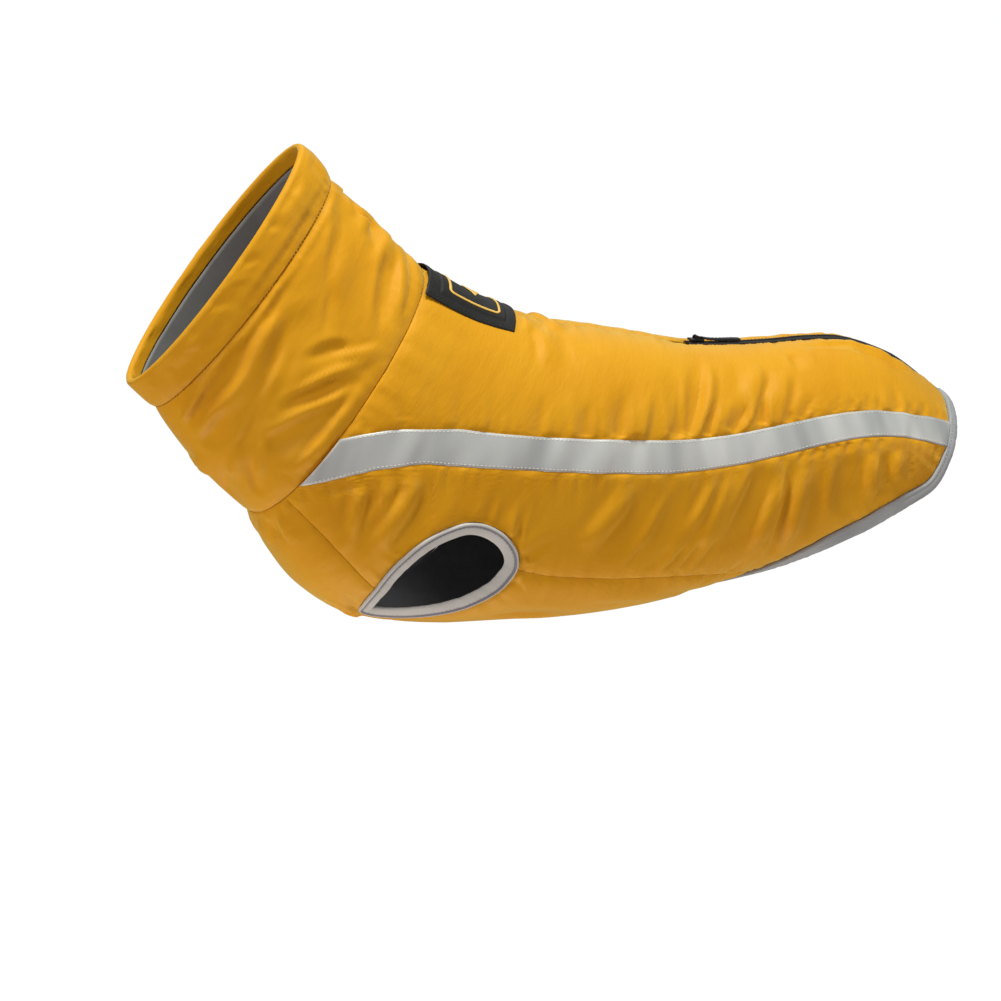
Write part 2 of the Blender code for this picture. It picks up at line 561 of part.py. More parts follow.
def block(size, place):
    """A box's corners and faces for a mesh being built, metres."""
    bm = bmesh.new()
    bmesh.ops.create_cube(bm, size=1.0)
    bmesh.ops.scale(bm, vec=Vector(size) * MM, verts=bm.verts)
    bmesh.ops.translate(bm, vec=Vector(place) * MM, verts=bm.verts)
    mesh = bpy.data.meshes.new("block")
    bm.to_mesh(mesh)
    bm.free()
    return mesh


def badge_places(a, b):
    """Places from distances along the crown line and across it, mm from the badge's middle."""
    ring = PATCH_MIDDLE + a / PATCH_RING
    return np.stack([ring, np.sign(b) * girth_at(ring, np.abs(b))], -1)


def stepped(half, step_at, count):
    """Grid lines across the badge, with two close together at each side of its step."""
    ramp = 0.4
    inner = np.linspace(-step_at + ramp, step_at - ramp, count)
    return np.array([-half, -step_at - ramp, *inner, step_at + ramp, half])


def build_patch():
    a, b = np.meshgrid(stepped(PATCH_HALF_LONG, PLATE_HALF_LONG, 7),
                       stepped(PATCH_HALF_WIDE, PLATE_HALF_WIDE, 7), indexing="ij")
    raised = (np.abs(a) < PLATE_HALF_LONG) & (np.abs(b) < PLATE_HALF_WIDE)
    wall("patch_base", badge_places(a, b), np.where(raised, PLATE_FACE, PATCH_FACE), PATCH_SEAT, RUBBER)

    low = PLATE_FACE + SEAM_GAP
    turn = np.radians(np.linspace(0, 90, 5))
    loops = []
    for line in (0, FRAME_LINE):
        radius = FRAME_CORNER - line
        a, b = [], []
        for quarter, (side_a, side_b) in enumerate(((1, 1), (-1, 1), (-1, -1), (1, -1))):
            a.append(side_a * (FRAME_HALF_LONG - FRAME_CORNER) + radius * np.cos(turn + quarter * np.pi / 2))
            b.append(side_b * (FRAME_HALF_WIDE - FRAME_CORNER) + radius * np.sin(turn + quarter * np.pi / 2))
        a, b = spread(np.concatenate(a), np.concatenate(b))
        loops.append(badge_places(a, b))
    wall("patch_frame", np.stack(loops), low + GILT_THICK, low, GILT, closed=True)

    s, t = np.meshgrid(np.linspace(-1, 1, 7), np.linspace(-1, 1, 7), indexing="ij")
    lozenge = badge_places((s - t) / 2 * LOZENGE_HALF_LONG, (s + t) / 2 * LOZENGE_HALF_WIDE)
    wall("patch_motif", lozenge, low + GILT_THICK, low, GILT)


def spread(a, b, pieces=6):
    """Put points on the straight sides of a closed outline, so that it can follow the curved back."""
    share = np.arange(pieces) / pieces
    far_a, far_b = np.roll(a, -1), np.roll(b, -1)
    long = np.hypot(far_a - a, far_b - b) > FRAME_CORNER
    points = [(x + (fx - x) * k, y + (fy - y) * k)
              for x, y, fx, fy, split in zip(a, b, far_a, far_b, long)
              for k in (share if split else share[:1])]
    return np.array(points).T


def build_pull(slider_place):
    """Pull tab with its eye, on the eye's axis. It turns up from the zip and over towards the head."""
    bm = bmesh.new()
    bmesh.ops.create_cone(bm, cap_ends=True, segments=16, radius1=EYE_RADIUS * MM,
                          radius2=EYE_RADIUS * MM, depth=EYE_LONG * MM)
    bmesh.ops.rotate(bm, verts=bm.verts, matrix=Matrix.Rotation(np.pi / 2, 3, "X"))
    mesh = bpy.data.meshes.new("zip_pull")
    bm.to_mesh(mesh)
    bm.free()
    pull = add_object("zip_pull", mesh, RUBBER)
    lean = Matrix.Rotation(np.radians(TAB_DROP), 4, "Y")
    eye = Matrix.Translation(Vector((0, 0, SLIDER_HIGH + SEAM_GAP + EYE_RADIUS)) * MM)
    pull.matrix_world = slider_place @ eye @ lean
    neck = block((TAB_NECK, EYE_LONG - NECK_THINNER, TAB_THICK - NECK_THINNER),
                 (TAB_NECK / 2 + NECK_START, 0, 0))
    plate = block((TAB_LONG - TAB_NECK, TAB_WIDE, TAB_THICK), ((TAB_LONG + TAB_NECK) / 2, 0, 0))
    for name, part in (("neck", neck), ("plate", plate)):
        piece = bpy.data.objects.new(name, part)
        CUTTERS.objects.link(piece)
        piece.matrix_world = pull.matrix_world
        piece.hide_render = True
        piece.display_type = "WIRE"
        join = pull.modifiers.new(name, "BOOLEAN")
        join.operation = "UNION"
        join.object = piece
    print("pull axis through", [round(c, 5) for c in pull.matrix_world.translation])


def build_slider():
    """Slider over the chain with two ears, and the pull tab that turns between them."""
    body = add_object("zip_slider", block((SLIDER_LONG, SLIDER_WIDE, SLIDER_HIGH), (0, 0, SLIDER_HIGH / 2)),
                      METAL)
    body.matrix_world = crown_frame(SLIDER_RING, CHAIN_RISE - ZIP_SINK + SEAM_GAP)
    for sign in (1, -1):
        middle = (0, sign * (EYE_LONG / 2 + SEAM_GAP + EAR_THICK / 2),
                  SLIDER_HIGH + EAR_HIGH / 2 - EAR_ROOT)
        ear = bpy.data.objects.new("ear", block((EAR_LONG, EAR_THICK, EAR_HIGH), middle))
        CUTTERS.objects.link(ear)
        ear.matrix_world = body.matrix_world
        ear.hide_render = True
        ear.display_type = "WIRE"
        join = body.modifiers.new("ear", "BOOLEAN")
        join.operation = "UNION"
        join.object = ear
    return body.matrix_world


# ---- run ---------------------------------------------------------------------------------------
for old in list(bpy.data.objects):
    bpy.data.objects.remove(old, do_unlink=True)
COAT = bpy.data.collections.new("dog raincoat")
CUTTERS = bpy.data.collections.new("joined pieces")
for collection in (COAT, CUTTERS):
    bpy.context.scene.collection.children.link(collection)

CLOTH = finished("yellow padded cloth", YELLOW, 0.55)
LINING = finished("grey lining", GREY_LINING, 0.7)
TAPE_CLOTH = finished("reflective tape", GREY_TAPE, 0.4)
BINDING = finished("grey binding", GREY_BINDING, 0.6)
PALE = finished("pale elastic binding", GREY_PALE, 0.7)
ZIP_CLOTH = finished("zip tape", BLACK, 0.8)
TEETH = finished("zip coil", BLACK, 0.45)
METAL = finished("black painted slider", BLACK, 0.35, 0.6)
RUBBER = finished("black rubber", BLACK, 0.55)
GILT = finished("gold print", GOLD, 0.45)

build_collar()
build_sides()
build_chest()
build_armholes()
build_hem()
build_zip()
build_pull(build_slider())
build_patch()
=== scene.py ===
# %% [markdown]
# # A padded raincoat for a dog, in the form it is worn in
#
# The real coat is sewn from yellow coated cloth over thin wadding, with a grey lining. It has a tall
# collar, a zip along the back, a reflective tape on each flank, bound armholes and a bound hem, and a
# rubber badge over the shoulders. The solid model holds its true size, so this lesson dresses that
# model: each plain solid is replaced by a fine piece that lies on the same surface.

# %% The solid model
import math
from collections import namedtuple

import bpy
import numpy as np
from mathutils import Matrix, Vector
from mathutils.kdtree import KDTree


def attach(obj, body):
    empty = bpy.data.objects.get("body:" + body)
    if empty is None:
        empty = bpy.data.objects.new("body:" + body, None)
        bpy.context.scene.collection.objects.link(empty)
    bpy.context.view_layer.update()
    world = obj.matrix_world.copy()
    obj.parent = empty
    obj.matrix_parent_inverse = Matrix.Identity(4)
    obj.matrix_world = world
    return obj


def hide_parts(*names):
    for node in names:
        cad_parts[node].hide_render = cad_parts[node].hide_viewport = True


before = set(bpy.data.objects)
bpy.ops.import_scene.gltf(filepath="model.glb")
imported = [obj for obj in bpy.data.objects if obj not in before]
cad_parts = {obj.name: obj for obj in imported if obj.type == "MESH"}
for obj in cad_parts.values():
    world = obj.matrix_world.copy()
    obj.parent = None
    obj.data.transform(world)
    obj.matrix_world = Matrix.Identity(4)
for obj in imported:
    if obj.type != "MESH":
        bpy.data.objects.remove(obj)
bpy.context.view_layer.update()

MM = 0.001

# %% [markdown]
# ## The camera
#
# The coat is seen from its left side, a little from the head end and from above, with a long lens
# that keeps its lines nearly parallel. The camera looks at a point inside the ribs.

# %% The camera
AZIMUTH, ELEVATION, DISTANCE = -18.0, 14.0, 2.2
LOOK_AT = Vector((0.0049, -0.0396, -0.145))
LENS, SENSOR = 105.5, 36.0

turn, rise = math.radians(AZIMUTH), math.radians(ELEVATION)
back = Vector((math.sin(turn) * math.cos(rise), -math.cos(turn) * math.cos(rise), math.sin(rise)))
bpy.ops.object.camera_add(location=LOOK_AT + back * DISTANCE)
camera = bpy.context.object
camera.rotation_euler = (-back).to_track_quat("-Z", "Y").to_euler()
camera.data.lens = LENS
camera.data.sensor_width = SENSOR
bpy.context.scene.camera = camera
print("camera", tuple(round(c, 3) for c in camera.location))

# %% [markdown]
# ## The surface that the coat lies on
#
# The coat is a bent tube. Each row of the table is one ring round it, from the rim of the collar to
# just past the hem, and a smooth curve through the rows gives every ring between them. A place on
# the coat is then two numbers: its ring, and its girth, the angle round the tube in degrees from the
# back line (0) over the left side (90) to the chest (180). The right side has negative girths. The
# tables and functions work in millimetres.

# %% Rings of the coat
Ring = namedtuple("Ring", "crown_x crown_z sole_x sole_z half_width egg full")
RINGS = [                       # crown: the highest point; sole: the lowest; from head to tail
    Ring(-136, 124, -268, -44, 53, 0.00, 2.00),      # rim of the collar
    Ring(-109, 95, -246, -69, 57, 0.02, 2.00),
    Ring(-82, 64, -214.5, -111, 65, 0.05, 2.00),
    Ring(-44, 29.5, -181, -148, 77, 0.08, 2.10),     # neck seam
    Ring(-7, 5.5, -163.5, -179, 84, 0.10, 2.15),
    Ring(26, -7.5, -142.4, -206.3, 88, 0.10, 2.20),
    Ring(58, -17.5, -108, -229, 91, 0.08, 2.25),     # front of the forelegs
    Ring(92, -24, -54, -240, 92, 0.05, 2.30),
    Ring(130, -32, 6, -243, 92, 0.03, 2.30),
    Ring(165, -39.5, 66, -245, 91, 0.03, 2.25),
    Ring(200, -42, 126, -241, 89, 0.04, 2.20),
    Ring(235, -42.5, 178, -232, 87, 0.06, 2.10),
    Ring(270, -42, 222, -225, 85, 0.08, 2.05),
    Ring(305, -46, 260, -217, 83, 0.10, 2.00),
    Ring(341, -61, 293, -208, 79, 0.10, 2.00),
    Ring(373, -83, 322, -200, 72, 0.10, 2.00),
    Ring(398, -104, 345, -193, 64, 0.10, 2.00),      # past the hem
    Ring(416, -126, 362, -187, 54, 0.10, 2.00),
]
RING_ROWS = np.array(RINGS, float)
BODY_RING, COLLAR_RING = 35.0, 30.0     # mm from ring to ring over the body, and in the collar
GIRTH_DEGREE = 1.55                     # mm round the body for each degree of girth
print("rings:", len(RINGS), "widest", max(ring.half_width for ring in RINGS), "mm from the middle")

# %% A smooth curve through the rows of a table
def spline(rows, at, closed=False):
    """Point on the smooth curve through the rows. `at` counts rows and may lie between them."""
    rows = np.asarray(rows, float)
    at = np.asarray(at, float)
    if closed:
        start = np.floor(at).astype(int)
        before, near, far, after = (rows[(start + step) % len(rows)] for step in (-1, 0, 1, 2))
    else:
        start = np.clip(np.floor(at).astype(int), 0, len(rows) - 2)
        longer = np.vstack([2 * rows[:1] - rows[1:2], rows, 2 * rows[-1:] - rows[-2:-1]])
        before, near, far, after = (longer[start + step] for step in (0, 1, 2, 3))
    s = (at - start)[..., None]
    return 0.5 * (2 * near + (far - before) * s + (2 * before - 5 * near + 4 * far - after) * s**2
                  + (3 * near - before - 3 * far + after) * s**3)

# %% Points of the surface and directions on it
def power(value, exponent):
    """A power that keeps its base's sign."""
    return np.sign(value) * np.abs(value)**exponent


def skin(ring, girth):
    """Point of the coat's surface, mm."""
    ring, girth = np.broadcast_arrays(np.asarray(ring, float), np.asarray(girth, float))
    crown_x, crown_z, sole_x, sole_z, half, egg, full = np.moveaxis(spline(RING_ROWS, ring), -1, 0)
    cosine = np.cos(np.radians(girth))
    sine = np.sin(np.radians(girth))
    drop = (1 - power(cosine, 2 / full)) / 2
    y = -half * power(sine, 2 / full) * (1 - egg * cosine)
    return np.stack([crown_x + drop * (sole_x - crown_x), y, crown_z + drop * (sole_z - crown_z)], -1)


def unit(vectors):
    """The vectors, each one long."""
    return vectors / np.linalg.norm(vectors, axis=-1, keepdims=True)


def directions(ring, girth):
    """The surface's two directions, mm for each ring and degree, and its outward unit normal."""
    d_ring, d_girth = 0.02, 0.5
    along = (skin(ring + d_ring, girth) - skin(ring - d_ring, girth)) / (2 * d_ring)
    around = (skin(ring, girth + d_girth) - skin(ring, girth - d_girth)) / (2 * d_girth)
    return along, around, unit(np.cross(around, along))

# %% Paths over the surface
def shifted(path, distance, closed=False):
    """Slide a path of places over the surface, square to itself, by a distance in mm."""
    path = np.array(path, float)
    steps = 4
    for _ in range(steps):
        points = skin(path[:, 0], path[:, 1])
        if closed:
            tangent = np.roll(points, -1, 0) - np.roll(points, 1, 0)
        else:
            tangent = np.gradient(points, axis=0)
        along, around, normal = directions(path[:, 0], path[:, 1])
        way = unit(np.cross(normal, tangent))
        aa, ar, rr = (along * along).sum(-1), (along * around).sum(-1), (around * around).sum(-1)
        wa, wr = (way * along).sum(-1), (way * around).sum(-1)
        det = aa * rr - ar * ar
        path[:, 0] += distance / steps * (wa * rr - wr * ar) / det
        path[:, 1] += distance / steps * (wr * aa - wa * ar) / det
    return path


def girth_at(ring, y):
    """Girth of the crown's neighbour that lies y mm from the middle plane."""
    half, egg, full = np.moveaxis(spline(RING_ROWS, ring)[..., 4:7], -1, 0)
    return np.degrees(np.arcsin((y / (half * (1 - egg)))**(full / 2)))


def sampled(rows, first, last, count, closed=False):
    """Even steps along the smooth curve through the rows, from one row to another."""
    return spline(rows, np.linspace(first, last, count + 1), closed)


def length_of(path):
    """Arc length up to each place of a path, mm."""
    points = skin(path[:, 0], path[:, 1])
    return np.concatenate([[0], np.cumsum(np.linalg.norm(np.diff(points, axis=0), axis=-1))])


back_line = np.stack([np.linspace(0, 15.5, 200), np.zeros(200)], -1)
print("back line", round(length_of(back_line)[-1]), "mm from the rim to the hem")

# %% [markdown]
# ## Seams and edges
#
# A pattern cutter draws each seam as one curve. They are drawn once here, as places on the tube, and
# every panel, binding and row of stitches takes its outline from them, so neighbours always meet.

# %% Seams and edges
Place = namedtuple("Place", "ring girth")
CASING_SEAM, NECK_SEAM = 0.86, 3.0      # rings of the seams under the rim band and under the collar
LINING_START = 0.34                     # ring where the turned-in edge of the rim band ends
CHEST_SEAM = [
    Place(3.00, 140), Place(3.45, 137.3), Place(4.05, 134.5), Place(4.86, 134.2), Place(5.68, 138),
]
ARMHOLE = [                             # a closed curve, from the end of the chest seam over the top
    Place(5.68, 138), Place(5.58, 124), Place(5.70, 109), Place(6.15, 99.5), Place(6.75, 101),
    Place(7.20, 108.3), Place(7.39, 116.6), Place(7.39, 129), Place(7.16, 142), Place(6.81, 152),
    Place(6.40, 159.5), Place(6.02, 162), Place(5.82, 152),
]
ARMHOLE_REAR = 6                        # the row of ARMHOLE where the side seam starts
SIDE_SEAM = [
    Place(7.39, 116.6), Place(7.91, 120.6), Place(8.72, 123.5), Place(9.51, 127), Place(10.28, 133.5),
    Place(11.0, 144.5),
]
HEM = [                                 # from the zip down the left side to the middle of the belly
    Place(15.58, 0), Place(15.56, 35), Place(15.54, 61), Place(15.47, 82), Place(15.24, 102),
    Place(14.58, 113.7), Place(13.72, 127), Place(13.01, 135), Place(12.35, 146),
    Place(11.74, 158), Place(11.22, 169.5), Place(11.05, 180),
]
HEM_CORNER, HEM_SEAM = 3.6, 9.0         # rows of HEM where it turns and where the side seam ends
FLARE_GIRTH = (82, 102, 114, 127, 135, 146, 158)        # along the flank the hem's free edge
FLARE = (0.0, 2.0, 4.5, 5.5, 5.0, 2.5, 0.0)             # turns out from the tube, mm
TapeRow = namedtuple("TapeRow", "ring top bottom")
TAPE = [                                # girth of the reflective tape's two edges along its length
    TapeRow(3, 103.0, 129.0), TapeRow(3.25, 96.2, 119.6), TapeRow(3.5, 91.1, 111.3),
    TapeRow(3.75, 87.3, 104.6), TapeRow(4, 84.1, 99.0), TapeRow(4.5, 79.2, 91.7),
    TapeRow(5, 75.6, 88.3), TapeRow(6, 71.6, 83.5), TapeRow(7, 70.5, 82.4), TapeRow(8, 69.3, 81.9),
    TapeRow(9, 67.2, 80.5), TapeRow(10, 65.6, 79.4), TapeRow(11, 63.4, 77.7),
    TapeRow(12, 61.9, 75.8), TapeRow(13, 60.3, 74.0), TapeRow(14, 57.8, 72.2),
    TapeRow(15, 51.5, 70.5), TapeRow(16, 46.5, 68.5),
]
SEAM_GAP = 0.3                          # mm between neighbouring pieces
BINDING_WIDTH = 9.0
ZIP_START, ZIP_RUN_IN, ZIP_OPENING = 8.50, 0.6, 6.5     # first ring, rings to open, half width in mm
TAPE_CURVE = spline(TAPE, np.linspace(0, len(TAPE) - 1, (len(TAPE) - 1) * 8 + 1))

# %% Edges that follow from the seams
def tape_edges(ring):
    """Girths of the reflective tape's upper and lower edge at a ring."""
    return tuple(np.interp(ring, TAPE_CURVE[:, 0], TAPE_CURVE[:, k]) for k in (1, 2))


def half_opening(ring):
    """Distance of a side panel's upper edge from the middle plane, mm."""
    open_part = np.clip((ring - ZIP_START) / (ZIP_RUN_IN / 2), 0, 1)
    return SEAM_GAP / 2 + (ZIP_OPENING - SEAM_GAP / 2) * open_part**2 * (3 - 2 * open_part)


HEM_INNER = shifted(sampled(HEM, 0, len(HEM) - 1, 110), -BINDING_WIDTH)
HEM_INNER[:, 1] = np.clip(HEM_INNER[:, 1], 0, 180)


def hem_inner(first, last, count):
    """Stretch of the line where the panels meet the hem binding, by rows of HEM."""
    at = np.linspace(first, last, count + 1) / (len(HEM) - 1) * (len(HEM_INNER) - 1)
    return spline(HEM_INNER, at)

# %% The outlines of the panels, in steps
FRONT_STEPS, ARM_STEPS, SIDE_STEPS, FLANK_STEPS, UNDER_STEPS = 34, 78, 110, 78, 78
FRONT_EDGE = sampled(CHEST_SEAM, 0, len(CHEST_SEAM) - 1, FRONT_STEPS)
ARM_UPPER = sampled(ARMHOLE, 0, ARMHOLE_REAR, ARM_STEPS, closed=True)
ARM_LOWER = sampled(ARMHOLE, len(ARMHOLE), ARMHOLE_REAR, UNDER_STEPS, closed=True)
SIDE_END = Place(*hem_inner(HEM_SEAM, HEM_SEAM, 1)[0])
SIDE_EDGE = sampled(SIDE_SEAM + [SIDE_END], 0, len(SIDE_SEAM), SIDE_STEPS)
FLANK_EDGE = hem_inner(HEM_SEAM, HEM_CORNER, FLANK_STEPS)
TAIL_EDGE = hem_inner(HEM_CORNER, 0, 120)
BELLY_EDGE = hem_inner(HEM_SEAM, len(HEM) - 1, 60)
HEM_ROUND = 2 * length_of(sampled(HEM, 0, len(HEM) - 1, 200))[-1]
ARMHOLE_ROUND = length_of(sampled(ARMHOLE, 0, len(ARMHOLE), 200, closed=True))[-1]
print("hem", round(HEM_ROUND), "mm round; armhole", round(ARMHOLE_ROUND), "mm round")

# %% [markdown]
# ## Panels as grids of places
#
# A sewn panel is a flat piece of cloth that bends two ways, which is just what a grid does: its
# columns run round the body and its rows along it. The rows crowd towards the seams, where the cloth
# rolls over most sharply.

# %% Grids for the panels
CROWN_AT_ARMHOLE = (4.4, 4.75, 5.15, 5.75, 6.5, 7.2, 7.9)           # back line over the armhole
CROWN_AT_HEM = (11.3, 15.24)                                        # and over the flank's two ends
MIDDLE_AT_ARMHOLE = (4.9, 5.35, 5.8, 6.3, 6.85, 7.4, 8.0, 8.5)      # chest middle under the armhole
FLAT_CROWN = 30.0               # down to this girth a column keeps its ring
ROWS_ABOVE, ROWS_TAPE, ROWS_BELOW = 60, 16, 60
TOP_ROW, BOTTOM_ROW = ROWS_ABOVE, ROWS_ABOVE + ROWS_TAPE


def crowded(count, amount=0.5):
    """Shares from 0 to 1 that lie closer together at both ends."""
    even = np.linspace(0, 1, count + 1)
    return even + amount * ((1 - np.cos(np.pi * even)) / 2 - even)

# %% Grid of a side panel
def side_grid():
    """Places of the left side panel: columns run from the centre back down to the lower edge."""
    lower = np.vstack([FRONT_EDGE, ARM_UPPER[1:], SIDE_EDGE[1:], FLANK_EDGE[1:]])
    front, arm, side, flank = np.cumsum((FRONT_STEPS, ARM_STEPS, SIDE_STEPS, FLANK_STEPS))
    column = np.arange(len(lower))
    corners = (0, *np.linspace(front, arm, len(CROWN_AT_ARMHOLE)), side, flank)
    crown = np.interp(column, corners, (NECK_SEAM, *CROWN_AT_ARMHOLE, *CROWN_AT_HEM))
    above, across, below = crowded(ROWS_ABOVE), np.linspace(0, 1, ROWS_TAPE + 1), crowded(ROWS_BELOW)
    ring = np.repeat(crown[:, None], BOTTOM_ROW + ROWS_BELOW + 1, 1)
    tail = TAIL_EDGE[::-1]
    pull = np.clip((column - side) / FLANK_STEPS, 0, 1)**2
    for _ in range(6):                              # ring and girth set each other, so they settle
        top, bottom = tape_edges(ring)
        start = girth_at(ring, half_opening(ring))
        end = lower[:, 1:2]
        girth = np.concatenate([
            start[:, :TOP_ROW] + (top - start)[:, :TOP_ROW] * above[:-1],
            top[:, TOP_ROW:BOTTOM_ROW] + (bottom - top)[:, TOP_ROW:BOTTOM_ROW] * across[:-1],
            bottom[:, BOTTOM_ROW:] + (end - bottom[:, BOTTOM_ROW:]) * below], 1)
        lean = np.clip((girth - FLAT_CROWN) / (end - FLAT_CROWN), 0, 1)**1.3
        ring = crown[:, None] + (lower[:, 0:1] - crown[:, None]) * lean
        straight = ring[-1]
        ring = ring + pull[:, None] * (np.interp(girth[-1], tail[:, 1], tail[:, 0]) - straight)
    return np.stack([ring, girth], -1)

# %% Grid of the underside panel
def chest_grid():
    """Places of the underside panel: stations from the neck seam to the hem, from left to right."""
    edge = np.vstack([FRONT_EDGE, ARM_LOWER[1:], SIDE_EDGE[1:]])
    arm_end = FRONT_STEPS + UNDER_STEPS
    corners = (0, *np.linspace(FRONT_STEPS, arm_end, len(MIDDLE_AT_ARMHOLE)), len(edge) - 1)
    middle_rings = (NECK_SEAM, *MIDDLE_AT_ARMHOLE, BELLY_EDGE[-1, 0])
    middle = np.interp(np.arange(len(edge)), corners, middle_rings)
    across = 2 * crowded(100) - 1
    girth = 180 + (180 - edge[:, 1:2]) * across
    ring = middle[:, None] + (edge[:, 0:1] - middle[:, None]) * np.abs(across)**2
    ring[-1] = np.interp(180 - np.abs(girth[-1] - 180), BELLY_EDGE[:, 1], BELLY_EDGE[:, 0])
    return np.stack([ring, girth], -1)

# %% Gaps at the seams
def inset(grid, sides):
    """Draw the named sides of a grid in by half a seam gap, so that neighbours stay apart."""
    grid = grid.copy()
    views = {"start": grid, "end": grid[::-1], "first": grid.transpose(1, 0, 2),
             "last": grid.transpose(1, 0, 2)[::-1]}
    for side in sides:
        view = views[side]
        edge, inner = skin(*np.moveaxis(view[0], -1, 0)), skin(*np.moveaxis(view[1], -1, 0))
        tangent = unit(np.gradient(edge, axis=0))
        step = inner - edge
        depth = np.linalg.norm(step - (step * tangent).sum(-1, keepdims=True) * tangent, axis=-1)
        view[0] += (SEAM_GAP / 2 / depth)[:, None] * (view[1] - view[0])
    return grid


SIDE_BASE, CHEST_BASE = side_grid(), chest_grid()
SIDE = inset(SIDE_BASE, ("start", "end", "last"))
CHEST = inset(CHEST_BASE, ("start", "end", "first", "last"))
print("side panel", SIDE.shape[:2], "chest panel", CHEST.shape[:2], "places")

# %% [markdown]
# ## The creases
#
# Padded cloth shows three kinds of relief. Between two seams the wadding swells, and each seam draws
# the cloth down into a groove. Sewing gathers the cloth a little, which leaves small uneven puckers
# that die away from the seam. And the body under it folds it in a few long creases. Those are
# placed one by one: a line of places, how wide it is to each side, and how high it stands or how
# deep it sinks. A crease that starts at a seam is deepest there.

# %% Creases of the collar
FAR, NONE, CROWN = (0.06, 0.75), (0.12, 0.12), (0.001, 0.8)     # shares of a crease's length over
BOTH = (0.4, 0.4)               # which it dies; CROWN's mirror image carries on over the back line
Crease = namedtuple("Crease", "line half_width height fade", defaults=[BOTH])
COLLAR_CREASES = [
    # along the rim band's seam and down from it
    Crease([(0.97, 14), (0.96, 50), (0.95, 84), (0.96, 112)], 2.2, 0.9, NONE),
    Crease([(1.06, 130), (1.16, 146), (1.30, 158)], 2.6, 1.5),
    Crease([(1.12, 126), (1.24, 142), (1.34, 155)], 3.6, -1.9),
    Crease([(1.06, 98), (1.14, 114), (1.26, 132), (1.34, 148)], 6.5, -2.4),
    Crease([(1.16, 76), (1.28, 96), (1.42, 115), (1.41, 134), (1.42, 152)], 4.5, 2.1),
    Crease([(1.08, 70), (1.12, 84), (1.20, 96)], 5.0, -1.2),
    Crease([(1.36, 74), (1.52, 92), (1.66, 108)], 9.0, -1.5),
    Crease([(1.50, 126), (1.62, 142), (1.70, 156)], 6.0, -1.6),
    Crease([(1.10, 88), (1.24, 106), (1.36, 122)], 3.0, 1.2),
    Crease([(1.52, 84), (1.70, 100), (1.84, 118)], 3.0, 1.1),
    Crease([(1.80, 112), (1.94, 128), (2.06, 144)], 3.6, -1.5),
    Crease([(1.66, 60), (1.84, 72), (2.02, 80)], 3.0, -1.0),
    Crease([(1.98, 132), (2.14, 146), (2.30, 158)], 4.0, 1.3),
    # the bundle that runs forward from the neck seam
    Crease([(2.82, 66), (2.52, 76), (2.22, 84)], 4.0, 1.2),
    Crease([(2.44, 75), (2.16, 81), (1.90, 94)], 4.5, -1.6),
    Crease([(2.78, 73), (2.36, 88), (2.10, 103)], 3.6, 1.9),
    Crease([(2.62, 83), (2.42, 91), (2.18, 104), (2.06, 114)], 3.8, -2.3),
    Crease([(2.76, 85), (2.46, 99), (2.28, 108)], 2.8, 1.6),
    Crease([(2.62, 100), (2.50, 108), (2.34, 120), (2.22, 128)], 6.5, -2.6),
    Crease([(2.14, 119), (2.26, 130), (2.46, 140), (2.70, 148)], 2.8, 1.8),
    Crease([(2.30, 136), (2.52, 145), (2.72, 152)], 5.0, -1.2),
    Crease([(2.86, 78), (2.82, 104), (2.80, 130)], 4.5, 1.4),
    # beside the neck seam and over the nape
    Crease([(2.60, 2), (2.74, 30), (2.82, 52)], 2.4, -1.3, NONE),
    Crease([(2.42, 4), (2.58, 34), (2.76, 60)], 4.0, 1.3),
    Crease([(2.22, 16), (2.40, 46), (2.66, 66)], 5.0, -1.7),
    Crease([(1.02, 18), (1.40, 40), (1.70, 62)], 7.0, -1.3),
    Crease([(1.30, 30), (1.62, 52), (1.96, 68)], 6.0, 0.9),
    Crease([(1.45, 0), (1.52, 14), (1.92, 16), (1.84, 34)], 4.5, -2.4),
    Crease([(1.72, 0), (1.74, 30)], 6.0, 1.0),
    Crease([(2.12, 0), (2.22, 22), (2.16, 44)], 7.0, 1.2),
    Crease([(2.34, 0), (2.38, 14)], 3.5, -1.8),
    Crease([(1.12, 0), (1.20, 30)], 8.0, -0.8, CROWN),
    Crease([(1.70, 160), (1.95, 172), (2.10, 178)], 6.0, 1.4),
    Crease([(2.10, 150), (2.35, 164), (2.60, 176)], 6.0, -1.2),
]

# %% Creases of the rim band
CASING_CREASES = [
    Crease([(0.36, 0), (0.36, 46)], 11.0, 0.9, CROWN),
    Crease([(0.74, 18), (0.70, 48), (0.68, 80), (0.70, 104)], 4.0, -1.2),
    Crease([(0.60, 96), (0.52, 120), (0.56, 146)], 5.0, -1.0),
    Crease([(0.34, 30), (0.30, 64)], 5.0, 0.7),
    Crease([(0.80, 24), (0.42, 20), (0.20, 18)], 4.0, -0.9, FAR),
    Crease([(0.12, 44), (0.40, 47), (0.76, 52)], 4.5, 0.8),
    Crease([(0.10, 66), (0.34, 62), (0.60, 64)], 3.5, -0.9, FAR),
    Crease([(0.10, 84), (0.30, 79), (0.52, 78)], 3.0, -1.1, FAR),
    Crease([(0.10, 93), (0.30, 88), (0.58, 86)], 3.0, 0.9, FAR),
    Crease([(0.12, 104), (0.36, 98), (0.66, 98)], 4.0, -0.9, FAR),
    Crease([(0.78, 112), (0.50, 106), (0.30, 106)], 4.0, -0.8, FAR),
    Crease([(0.14, 126), (0.42, 120), (0.70, 122)], 4.0, 0.9),
    Crease([(0.14, 140), (0.40, 135), (0.74, 138)], 3.5, -1.0),
    Crease([(0.14, 156), (0.44, 152), (0.76, 156)], 4.0, 0.8),
    Crease([(0.30, 0), (0.34, 30)], 4.0, -0.7),
]

